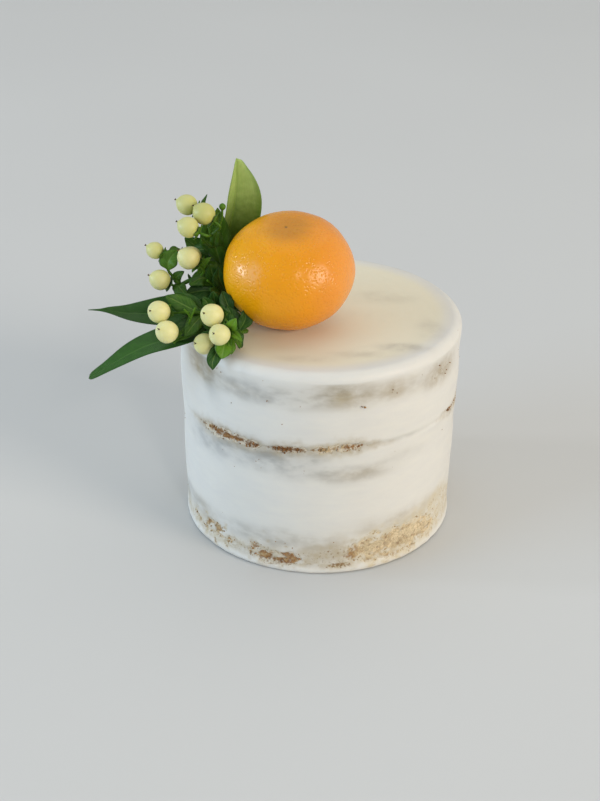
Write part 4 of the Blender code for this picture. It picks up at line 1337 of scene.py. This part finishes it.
def crumb_tree(material):
    """Geometry nodes that set a small torn lump on each point, sized and toned by its values."""
    numbers = (("Seed", "NodeSocketInt"), ("Tear", "NodeSocketFloat"))
    tree, given, (seed, tear) = geometry_tree("Loose crumbs", numbers)
    lump = add(tree, "GeometryNodeMeshIcoSphere", inputs={"Radius": MM, "Subdivisions": 2})
    size = add(tree, "GeometryNodeInputNamedAttribute", {"data_type": "FLOAT"}, {"Name": "size"})
    turn = random_vector(tree, given.outputs["Seed"], (0.0, 0.0, 0.0), (math.tau, math.tau, math.tau))
    squash = random_vector(tree, given.outputs["Seed"], (0.6, 0.6, 0.5), (1.25, 1.0, 0.9))
    lumps = add(
        tree,
        "GeometryNodeInstanceOnPoints",
        inputs={
            "Points": given.outputs["Geometry"],
            "Instance": lump.outputs["Mesh"],
            "Rotation": turn,
            "Scale": scaled(tree, squash, size.outputs["Attribute"]),
        },
    )
    real = followed(tree, "GeometryNodeRealizeInstances", lumps.outputs[0])
    torn = add(tree, "ShaderNodeTexNoise", inputs={"Scale": cycles_per_metre(0.8), "Detail": 1.0})
    halved = {0: torn.outputs["Color"], 1: (0.5, 0.5, 0.5)}
    centred = add(tree, "ShaderNodeVectorMath", {"operation": "SUBTRACT"}, halved)
    offset = scaled(tree, centred.outputs[0], given.outputs["Tear"])
    moved = followed(tree, "GeometryNodeSetPosition", real, {"Offset": offset})
    shaded = followed(tree, "GeometryNodeSetShadeSmooth", moved, {"Shade Smooth": False})
    lead_out(tree, shaded, material)
    return tree, {seed: SEED, tear: CRUMB_TEAR * MM}


def grown(name, start, tree, values, material):
    """The plain mesh that a geometry tree makes from an object, which it takes the place of."""
    modifier = start.modifiers.new("grow", "NODES")
    modifier.node_group = tree
    for identifier, value in values.items():
        modifier[identifier] = value
    graph = bpy.context.evaluated_depsgraph_get()
    mesh = bpy.data.meshes.new_from_object(start.evaluated_get(graph))
    start.modifiers.clear()
    bpy.data.objects.remove(start, do_unlink=True)
    mesh.name = name
    mesh.materials.clear()
    mesh.materials.append(material)
    return set_in_scene(name, mesh)


# The mandarin


def mandarin_mesh(sides=300, rings=170):
    """Points, faces and values of the fruit: lobed, leaning, with creases round its dimple."""
    slopes = np.pi * np.arange(1, rings) / rings
    spins = np.arange(sides) * math.tau / sides
    slope, spin = np.meshgrid(slopes, spins, indexing="ij")
    near = np.exp(-(((np.pi - slope) / MANDARIN_DIMPLE_WIDTH) ** 2))
    crown = np.exp(-(((np.pi - slope) / CROWN_WIDTH) ** 2))
    fullness = np.where(slope > np.pi / 2, MANDARIN_SHOULDER, 1.0)
    radius = np.sin(slope) ** fullness * MANDARIN_RADIUS
    radius *= 1 + MANDARIN_LOBES * np.cos(MANDARIN_SEGMENTS * spin) * np.sin(slope)
    about = np.exp(-(((np.pi - slope - MANDARIN_DIMPLE_WIDTH) / 0.15) ** 2))
    creases = MANDARIN_CREASES * np.cos(MANDARIN_SEGMENTS * spin) * about
    height = -np.cos(slope) * MANDARIN_HALF_HEIGHT - MANDARIN_DIMPLE * near + creases
    grid = np.stack([radius * np.cos(spin), radius * np.sin(spin), height], axis=-1).reshape(-1, 3)
    grid += uneven(grid, PEEL_DENTS)[:, None] * grid / np.linalg.norm(grid, axis=1)[:, None]
    poles = [[0, 0, -MANDARIN_HALF_HEIGHT], [0, 0, MANDARIN_HALF_HEIGHT - MANDARIN_DIMPLE - 0.3]]
    points = np.vstack([grid, poles])
    lean = math.radians(MANDARIN_LEAN)
    turn = np.array(aligned(on_circle(math.sin(lean), MANDARIN_LEAN_TOWARDS, math.cos(lean))))
    placed = points @ turn.T + np.array(above(MANDARIN_CENTRE))
    ring_count = len(slopes)
    faces = ring_faces(ring_count, sides).tolist()
    faces += [(b, a, c) for a, b, c in fan(0, sides, len(grid))]
    faces += fan((ring_count - 1) * sides, sides, len(grid) + 1)
    patch = smooth(crown.ravel() * (1.1 + 0.35 * rough(grid, 12.0, 36)) - 0.1)
    spot = smooth((0.02 - (np.pi - slope.ravel()) + 0.012 * rough(grid, 1.2, 34)) / 0.02)
    values = {"crown": patch * CROWN_STRENGTH, "scar": spot}
    return placed, faces, {name: np.concatenate([value, [0, 1]]) for name, value in values.items()}


def pore_tree(material, settings):
    """Geometry nodes that press the oil glands into the peel."""
    numbers = (("Spacing", "NodeSocketFloat"), ("Depth", "NodeSocketFloat"))
    tree, given, (spacing, depth) = geometry_tree("Oil glands", numbers)
    glands = gland_distance(tree, {"Scale": calc(tree, "DIVIDE", 1.0, given.outputs["Spacing"])})
    pit = remap(tree, glands, 0.05, 0.45, -1.0, 0.0)
    normal = tree.nodes.new("GeometryNodeInputNormal")
    offset = scaled(tree, normal.outputs[0], calc(tree, "MULTIPLY", pit, given.outputs["Depth"]))
    moved = followed(tree, "GeometryNodeSetPosition", given.outputs["Geometry"], {"Offset": offset})
    real = followed(tree, "GeometryNodeRealizeInstances", moved)
    lead_out(tree, real, material)
    return tree, {spacing: settings.pore_spacing, depth: settings.pore_depth}


# Stems, leaves and berries


def smooth_path(knots, count):
    """Points along a Catmull-Rom curve through the knots."""
    knots = [Vector(knot) for knot in knots]
    padded = [2 * knots[0] - knots[1]] + knots + [2 * knots[-1] - knots[-2]]
    path = []
    for i in range(count + 1):
        along = (len(knots) - 1) * i / count
        k = min(int(along), len(knots) - 2)
        t = along - k
        a, b, c, d = padded[k : k + 4]
        bend = (c - a) * t + (2 * a - 5 * b + 4 * c - d) * t**2 + (3 * b - a - 3 * c + d) * t**3
        path.append(0.5 * (2 * b + bend))
    return path


def tangents(path):
    ends = [path[0]] + path + [path[-1]]
    return [(ends[i + 2] - ends[i]).normalized() for i in range(len(path))]


class Growth:
    """Gathers the stems and leaves of one sprig into one mesh."""

    def __init__(self):
        self.points = []
        self.faces = []
        self.surface = []
        self.tone = []
        self.blade = []
        self.paths = []

    def add(self, points, faces, surface, tone, blade):
        start = len(self.points)
        self.points += [tuple(point) for point in points]
        self.faces += [tuple(corner + start for corner in face) for face in faces]
        self.surface += surface
        self.tone += [tone] * len(points)
        self.blade += [blade] * len(points)

    def stem(self, knots, radius, end_radius, count, tone, sides=10, rounded=False):
        """A round stem that tapers and swells a little at its nodes, or a rounded bud."""
        path = smooth_path(knots, count)
        self.paths.append(path)
        side = Vector((0.3, 0.5, 0.8))
        points = []
        for i, (point, along) in enumerate(zip(path, tangents(path))):
            side = (side - along * side.dot(along)).normalized()
            up = along.cross(side)
            share = i / count
            thick = radius + (end_radius - radius) * share
            if rounded:
                thick *= max(math.sin(math.pi * share), 0.05) ** 0.6
            else:
                thick *= 1 + 0.12 * math.sin(share * 19.0) ** 8 + 0.04 * noise.noise(point / 3.0)
            for j in range(sides):
                spin = math.tau * j / sides
                points.append(point + thick * (math.cos(spin) * side + math.sin(spin) * up))
        faces = ring_faces(count + 1, sides).tolist()
        faces += fan(0, sides, len(points)) + fan(count * sides, sides, len(points) + 1)
        points += [path[0], path[-1]]
        self.add(points, faces, [(0.5, 0.0)] * len(points), tone, 0.0)

    def leaf(self, knots, width, face, tone, shape):
        """A thin leaf along its knots."""
        points, faces, surface = leaf_sheet(knots, width, face, **shape)
        self.add(points, faces, surface, tone, 1.0)

    def nearest(self, point):
        """The point on the stems made so far that is nearest."""
        return min((spot for path in self.paths for spot in path), key=lambda spot: (spot - point).length)

    def piece(self, name, material):
        fields = {"tone": self.tone, "blade": self.blade}
        return make_piece(name, self.points, self.faces, material, fields, self.surface)


def outline(t, widest, taper, tip):
    """Half width of a leaf along its length, as a share: rounded foot, widest point, tip."""
    lens = max(math.sin(math.pi * t ** (math.log(0.5) / math.log(widest))), 0.0) ** taper
    if t < 0.5:
        return max(lens, LEAF_FOOT)
    blunt = tip * math.sqrt(1 - t**40)
    return max((lens**5 + blunt**5) ** 0.2, 0.02)


def leaf_sheet(
    knots,
    width,
    face,
    fold=15.0,
    wave=0.5,
    count=18,
    across=12,
    widest=0.45,
    taper=0.85,
    kept=1.0,
    tip=0.12,
    thickness=LEAF_THICKNESS,
    curl=0.0,
):
    """A thin solid leaf: folded on its midrib, rippled at its margin, thinner towards its edge.

    Kept is the share of its half width that the leaf has on its left side.
    """
    path = smooth_path(knots, count)
    rise = math.radians(fold)
    layers = ([], [])
    surface = []
    for i, (point, along) in enumerate(zip(path, tangents(path))):
        t = i / count
        side = along.cross(Vector(face)).normalized()
        up = side.cross(along)
        half = width / 2 * outline(t, widest, taper, tip)
        for j in range(across + 1):
            u = (2 * j / across - 1) * (kept if j < across / 2 else 1.0)
            reach = abs(u) * half
            ripple = wave * abs(u) ** 2 * math.sin(LEAF_RIPPLES * math.tau * t + 2 * u)
            droop = curl * (reach / max(width / 2, 1e-6)) ** 2 * width / 2
            spot = point + side * (u * half * math.cos(rise))
            spot += up * (reach * math.sin(rise) + ripple - droop)
            groove = MIDRIB_GROOVE * math.exp(-((u * half / MIDRIB_WIDTH) ** 2))
            body = thickness / 2 * (1 - MARGIN_THINNING * abs(2 * j / across - 1) ** 4)
            layers[0].append(spot + up * (body - groove))
            layers[1].append(spot - up * (body + groove))
            surface.append((0.5 + 0.5 * (2 * j / across - 1), t))
    row = across + 1
    shift = row * (count + 1)
    faces = []
    for i in range(count):
        for j in range(across):
            a = i * row + j
            faces.append((a, a + 1, a + row + 1, a + row))
            faces.append((a + shift, a + row + shift, a + row + 1 + shift, a + 1 + shift))
    rim = list(range(row))
    rim += [i * row + across for i in range(1, count + 1)]
    rim += [count * row + j for j in range(across - 1, -1, -1)]
    rim += [i * row for i in range(count - 1, 0, -1)]
    for first, second in zip(rim, rim[1:] + rim[:1]):
        faces.append((second, first, first + shift, second + shift))
    return layers[0] + layers[1], faces, surface + surface


def berry_foot(number):
    """Where a berry's twig meets its sepals."""
    centre, tip, radius = BERRIES[number - 1]
    return above(centre) - Vector(tip).normalized() * (radius * BERRY_STRETCH + GAP + 0.3)


def add_sepals(growth, number, size, draw):
    """Five small leaves in a cup behind a berry."""
    tip = Vector(BERRIES[number - 1][1]).normalized()
    foot = berry_foot(number)
    turn = aligned(tip)
    for sepal in range(SEPALS):
        spin = math.tau * (sepal + 0.19 * number) / SEPALS
        out = turn @ Vector((math.cos(spin), math.sin(spin), 0.0))
        reach = SEPAL_REACH * size * draw.uniform(0.85, 1.1)
        cup = draw.uniform(0.4, 1.7) * size
        knots = [foot - tip * 0.2, foot + out * reach * 0.55 + tip * 0.1, foot + out * reach + tip * cup]
        shape = {"count": 9, "across": 6, "fold": 12.0, "wave": 0.15, "widest": 0.5, "thickness": 0.4}
        growth.leaf(knots, SEPAL_WIDTH * size, tip, draw.uniform(0.3, 0.7), shape)


def grow_sprig(name, plan, draw):
    """One sprig: its stalk, its twigs with sepals, and its small leaves on short petioles."""
    growth = Growth()
    stalk = [above(knot) for knot in plan["stalk"]]
    growth.stem(stalk, STEM_RADIUS * 1.05, STEM_RADIUS * 0.8, 36, 0.4)
    if name == "sprig_upper":
        growth.stem([stalk[-1], above(BUD_TWIG), above(BUD)], TWIG_RADIUS, TWIG_RADIUS * 0.8, 12, 0.5)
        low, high = (above(BUD) + Vector((0, 0, end)) for end in BUD_ENDS)
        growth.stem([low, above(BUD), high], BUD_RADIUS, BUD_RADIUS * 0.9, 12, 0.55, sides=16, rounded=True)
    for number, knot, through, bend, size in plan["twigs"]:
        tip = Vector(BERRIES[number - 1][1]).normalized()
        foot = berry_foot(number)
        knots = [stalk[knot], *(above(point) for point in through), foot - tip * 4.0 + Vector(bend), foot]
        growth.stem(knots, TWIG_RADIUS, TWIG_RADIUS * 0.85, 7 * (len(knots) - 1), 0.55)
        add_sepals(growth, number, size, draw)
    for knots, radius, tone in plan["shoots"]:
        growth.stem([above(knot) for knot in knots], radius, radius * 0.8, 10, tone, sides=8)
    for knots, width, face, tone in SPRIG_LEAVES[name]:
        placed = [above(knot) for knot in knots]
        start = growth.nearest(placed[0])
        inward = (placed[1] - placed[0]).normalized()
        petiole = [start, (start + placed[0]) / 2, placed[0] + inward * 1.5]
        growth.stem(petiole, PETIOLE_RADIUS, PETIOLE_RADIUS * 0.7, 6, tone, sides=7)
        shape = {
            "fold": draw.uniform(8, 22),
            "wave": draw.uniform(0.2, 0.6),
            "widest": draw.uniform(0.42, 0.54),
            "curl": draw.uniform(0.05, 0.35),
            "tip": draw.uniform(0.12, 0.3),
        }
        growth.leaf(placed, width, face, tone, shape)
    return growth


def style_arm(arm, foot):
    """Points of one arm of a dry style: three leaning outwards and the last upright."""
    spin = math.tau * arm / 3
    lean = Vector((math.cos(spin), math.sin(spin), 0)) * (0.0 if arm == 3 else 0.55)
    start = Vector((0, 0, foot))
    bend = start + Vector((0, 0, STYLE_LENGTH * 0.5)) + lean * 0.4
    end = start + Vector((0, 0, STYLE_LENGTH * 0.75)) + lean
    corners = [Vector((math.cos(turn), math.sin(turn), 0.0)) for turn in np.arange(6) * math.tau / 6]
    rings = ((start, 0.34), (bend, 0.24), (end, 0.16))
    return [list(spot + thick * corner) for spot, thick in rings for corner in corners]


def berry_mesh(number, draw, sides=44, rings=30):
    """Points, faces and values of one berry, faintly three-sided, with its dry style."""
    centre, tip, radius = BERRIES[number - 1]
    slopes = np.pi * np.arange(1, rings) / rings
    spins = np.arange(sides) * math.tau / sides + draw.uniform(0, math.tau)
    slope, spin = np.meshgrid(slopes, spins, indexing="ij")
    lobes = 1 + BERRY_LOBES * np.cos(3 * spin) * np.sin(slope)
    width = np.sin(slope) * radius * (1 - 0.04 * np.cos(np.pi - slope)) * lobes
    point = BERRY_POINT * np.exp(-(((np.pi - slope) / 0.2) ** 2))
    seat = BERRY_SEAT * np.exp(-((slope / 0.3) ** 2))
    height = -np.cos(slope) * radius * BERRY_STRETCH + point + seat
    grid = np.stack([width * np.cos(spin), width * np.sin(spin), height], axis=-1).reshape(-1, 3)
    grid += 0.09 * rough(grid, radius * 1.1, 40 + number)[:, None] * grid / radius
    high = radius * BERRY_STRETCH
    points = [*grid.tolist(), [0, 0, BERRY_SEAT - high], [0, 0, high + BERRY_POINT]]
    count = len(grid)
    faces = ring_faces(rings - 1, sides).tolist()
    faces += [(b, a, c) for a, b, c in fan(0, sides, count)] + fan((rings - 2) * sides, sides, count + 1)
    along = [*(slope.ravel() / np.pi).tolist(), 0.0, 1.0]
    style = [*smooth((0.1 - (np.pi - slope.ravel())) / 0.05).tolist(), 0.0, 1.0]
    for arm in range(4):
        base = len(points)
        points += style_arm(arm, high + 0.4)
        faces += [tuple(corner + base for corner in face) for face in ring_faces(3, 6).tolist()]
        faces += [tuple(base + j for j in range(6)), tuple(base + 12 + j for j in range(6))]
        along += [1.0] * 18
        style += [1.0] * 18
    turn = np.array(aligned(tip))
    placed = np.array(points) @ turn.T + np.array(above(centre))
    fields = {"along": along, "style": style, "tone": [BERRY_TONES[number - 1]] * len(points)}
    return placed, faces, fields


# Operators


class CAKE_OT_coat(bpy.types.Operator):
    """Spread and scrape the buttercream coat"""

    bl_idname = "naked_cake.coat"
    bl_label = "Coat"

    def execute(self, context):
        settings = context.scene.cake_coat
        points, faces, fields = coat_mesh(settings.thickness / MM, settings.columns)
        material = buttercream(settings)
        coat = make_piece("scraped_coat", points, faces, material, fields)
        adopt(coat, ["buttercream_coat"])
        for name in ("filling_lower", "filling_upper"):
            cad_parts[name].material_slots[0].material = material
        return {"FINISHED"}


class CAKE_OT_layers(bpy.types.Operator):
    """Bake the sponge layers and scatter their loose crumbs"""

    bl_idname = "naked_cake.layers"
    bl_label = "Sponge layers"

    def execute(self, context):
        settings = context.scene.cake_crumb
        coat = context.scene.cake_coat.thickness / MM
        material = sponge(settings)
        base = (base_edges, BASE_RAGGED, BASE_SMEAR, BASE_BROWNING)
        line = (line_edges, LINE_RAGGED, LINE_SMEAR, LINE_BROWNING)
        layers = (
            ("sponge_bottom", "torn_bottom_layer", BOTTOM_CRUMB, base),
            ("sponge_middle", "torn_middle_layer", MIDDLE_CRUMB, line),
        )
        for node, name, band, plan in layers:
            low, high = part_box(node)
            points, faces, fields = layer_mesh(low.z / MM, high.z / MM, band, plan, settings, coat)
            adopt(make_piece(name, points, faces, material, fields), [node])
        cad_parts["sponge_top"].material_slots[0].material = material
        tree, values = crumb_tree(material)
        crumbs = grown("loose_crumbs", crumb_seeds(settings), tree, values, material)
        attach(crumbs, "root")
        return {"FINISHED"}


class CAKE_OT_mandarin(bpy.types.Operator):
    """Model the mandarin and press the oil glands into its peel"""

    bl_idname = "naked_cake.mandarin"
    bl_label = "Mandarin"

    def execute(self, context):
        settings = context.scene.cake_mandarin
        material = mandarin_peel(settings)
        points, faces, fields = mandarin_mesh()
        start = make_piece("smooth mandarin", points, faces, material, fields)
        tree, values = pore_tree(material, settings)
        adopt(grown("pored_mandarin", start, tree, values, material), ["mandarin"])
        return {"FINISHED"}


class CAKE_OT_berries(bpy.types.Operator):
    """Model the twelve ivory berries"""

    bl_idname = "naked_cake.berries"
    bl_label = "Berries"

    def execute(self, context):
        material = berry_skin(context.scene.cake_greenery)
        draw = random.Random(SEED + 2)
        for number in range(1, len(BERRIES) + 1):
            points, faces, fields = berry_mesh(number, draw)
            piece = make_piece(f"ivory_berry_{number:02d}", points, faces, material, fields)
            adopt(piece, [f"berry_{number:02d}"])
        return {"FINISHED"}


class CAKE_OT_sprigs(bpy.types.Operator):
    """Grow the four hypericum sprigs"""

    bl_idname = "naked_cake.sprigs"
    bl_label = "Sprigs"

    def execute(self, context):
        settings = context.scene.cake_greenery
        colours = ((*settings.dark, 1.0), (*settings.bright, 1.0), linear("7F9A4C"))
        material = leaf_material("hypericum leaf, fresh", colours, 0.38, (5.0, 7.0), 0.42)
        draw = random.Random(SEED + 3)
        for name, plan in SPRIGS.items():
            growth = grow_sprig(name, plan, draw)
            adopt(growth.piece(f"fresh_{name}", material), [name])
        return {"FINISHED"}


class CAKE_OT_leaves(bpy.types.Operator):
    """Shape the three large leaves"""

    bl_idname = "naked_cake.leaves"
    bl_label = "Large leaves"

    def execute(self, context):
        settings = context.scene.cake_greenery
        waxy = ((*settings.dark, 1.0), linear("48762F"), linear("6C9450"))
        dark = leaf_material("lemon leaf, waxy", waxy, 0.3, (16.0, 14.0), 0.24)
        young = (linear("44641A"), linear("A6BE6E"), linear("5E7C24"))
        pale = leaf_material("young leaf, pale", young, 0.36, (20.0, 5.0), 0.24)
        for name, (knots, numbers, tones) in LARGE_LEAVES.items():
            upright = name == "leaf_upright"
            growth = Growth()
            shape = {**numbers, "count": 90, "across": 28, "thickness": settings.leaf_thickness / MM}
            width = shape.pop("width")
            growth.leaf([above(knot) for knot in knots], width, shape.pop("face"), 0.0, shape)
            # Tones along each leaf are painted light and shade: a dark foot of painted shade, and on the
            # upright leaf a bright tip of painted light
            shares, values = zip(*tones)
            across, along = np.array(growth.surface).T
            shade = UPRIGHT_SHADE * (across - 0.4) * (1 - along) if upright else 0.0
            growth.tone = (np.interp(along, shares, values) - shade).tolist()
            material = pale if upright else dark
            adopt(growth.piece(f"veined_{name}", material), [name])
        return {"FINISHED"}


class CAKE_OT_stage(bpy.types.Operator):
    """Set the floor, the lights and the camera"""

    bl_idname = "naked_cake.stage"
    bl_label = "Stage"

    def execute(self, context):
        scene = context.scene
        half = scene.cake_stage.floor_size / 2 / MM
        turns = ((-1, -1), (1, -1), (1, 1), (-1, 1))
        corners = [(half * x, half * y, -FLOOR_DROP) for x, y in turns]
        make_piece("studio_floor", corners, [(0, 1, 2, 3)], painted_floor(scene.cake_stage))
        world = bpy.data.worlds.new("soft room")
        scene.world = world
        world.use_nodes = True
        background = world.node_tree.nodes["Background"]
        background.inputs["Color"].default_value = linear(ROOM_COLOUR)
        background.inputs["Strength"].default_value = ROOM_STRENGTH
        for name, place, size, power, colour in LIGHTS:
            lamp = bpy.data.lights.new(name, "AREA")
            lamp.shape = "RECTANGLE"
            lamp.size, lamp.size_y = size
            lamp.energy = power
            lamp.color = linear(colour)[:3]
            aim = Vector(LAMP_TARGET) - Vector(place)
            facing = aim.to_track_quat("-Z", "Y").to_matrix().to_4x4()
            set_in_scene(name, lamp).matrix_world = Matrix.Translation(place) @ facing
        place_camera(scene)
        scene.view_settings.view_transform = "Standard"
        return {"FINISHED"}


def place_camera(scene):
    """The camera at the viewpoint."""
    yaw, pitch, roll = CAMERA_YAW, CAMERA_PITCH, CAMERA_ROLL
    forward = Vector((math.sin(yaw) * math.cos(pitch), math.cos(yaw) * math.cos(pitch), -math.sin(pitch)))
    level = Vector((math.cos(yaw), -math.sin(yaw), 0.0))
    upward = level.cross(forward)
    right = math.cos(roll) * level + math.sin(roll) * upward
    up = math.cos(roll) * upward - math.sin(roll) * level
    turn = Matrix((right, up, -forward)).transposed().to_4x4()
    lens = bpy.data.cameras.new("viewpoint")
    lens.sensor_fit = "AUTO"
    lens.sensor_width = 36.0
    lens.lens = CAMERA_LENS
    lens.clip_start = 0.01
    camera = set_in_scene("viewpoint", lens)
    camera.matrix_world = Matrix.Translation(CAMERA_PLACE) @ turn
    scene.camera = camera


class CAKE_PT_panel(bpy.types.Panel):
    """Lists the pieces of the cake and their settings"""

    bl_idname = "CAKE_PT_panel"
    bl_label = "Naked cake"
    bl_space_type = "VIEW_3D"
    bl_region_type = "UI"
    bl_category = "Naked cake"

    def draw(self, context):
        for group, operators in PANEL_ROWS:
            box = self.layout.box()
            settings = getattr(context.scene, group)
            for name in settings.__annotations__:
                box.prop(settings, name)
            for operator in operators:
                box.operator(operator.bl_idname)


OPERATORS = (
    CAKE_OT_coat,
    CAKE_OT_layers,
    CAKE_OT_mandarin,
    CAKE_OT_berries,
    CAKE_OT_sprigs,
    CAKE_OT_leaves,
    CAKE_OT_stage,
)
PANEL_ROWS = (
    ("cake_coat", (CAKE_OT_coat,)),
    ("cake_crumb", (CAKE_OT_layers,)),
    ("cake_mandarin", (CAKE_OT_mandarin,)),
    ("cake_greenery", (CAKE_OT_berries, CAKE_OT_sprigs, CAKE_OT_leaves)),
    ("cake_stage", (CAKE_OT_stage,)),
)
SETTINGS = {
    "cake_coat": CoatSettings,
    "cake_crumb": CrumbSettings,
    "cake_mandarin": MandarinSettings,
    "cake_greenery": GreenerySettings,
    "cake_stage": StageSettings,
}


def register():
    for group in (*SETTINGS.values(), *OPERATORS, CAKE_PT_panel):
        bpy.utils.register_class(group)
    for name, group in SETTINGS.items():
        setattr(bpy.types.Scene, name, PointerProperty(type=group))


def unregister():
    for name in SETTINGS:
        delattr(bpy.types.Scene, name)
    for group in (CAKE_PT_panel, *reversed(OPERATORS), *SETTINGS.values()):
        bpy.utils.unregister_class(group)


def main():
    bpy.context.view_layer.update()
    register()
    bpy.ops.naked_cake.coat()
    bpy.ops.naked_cake.layers()
    bpy.ops.naked_cake.mandarin()
    bpy.ops.naked_cake.berries()
    bpy.ops.naked_cake.sprigs()
    bpy.ops.naked_cake.leaves()
    bpy.ops.naked_cake.stage()


if __name__ == "__main__":
    main()
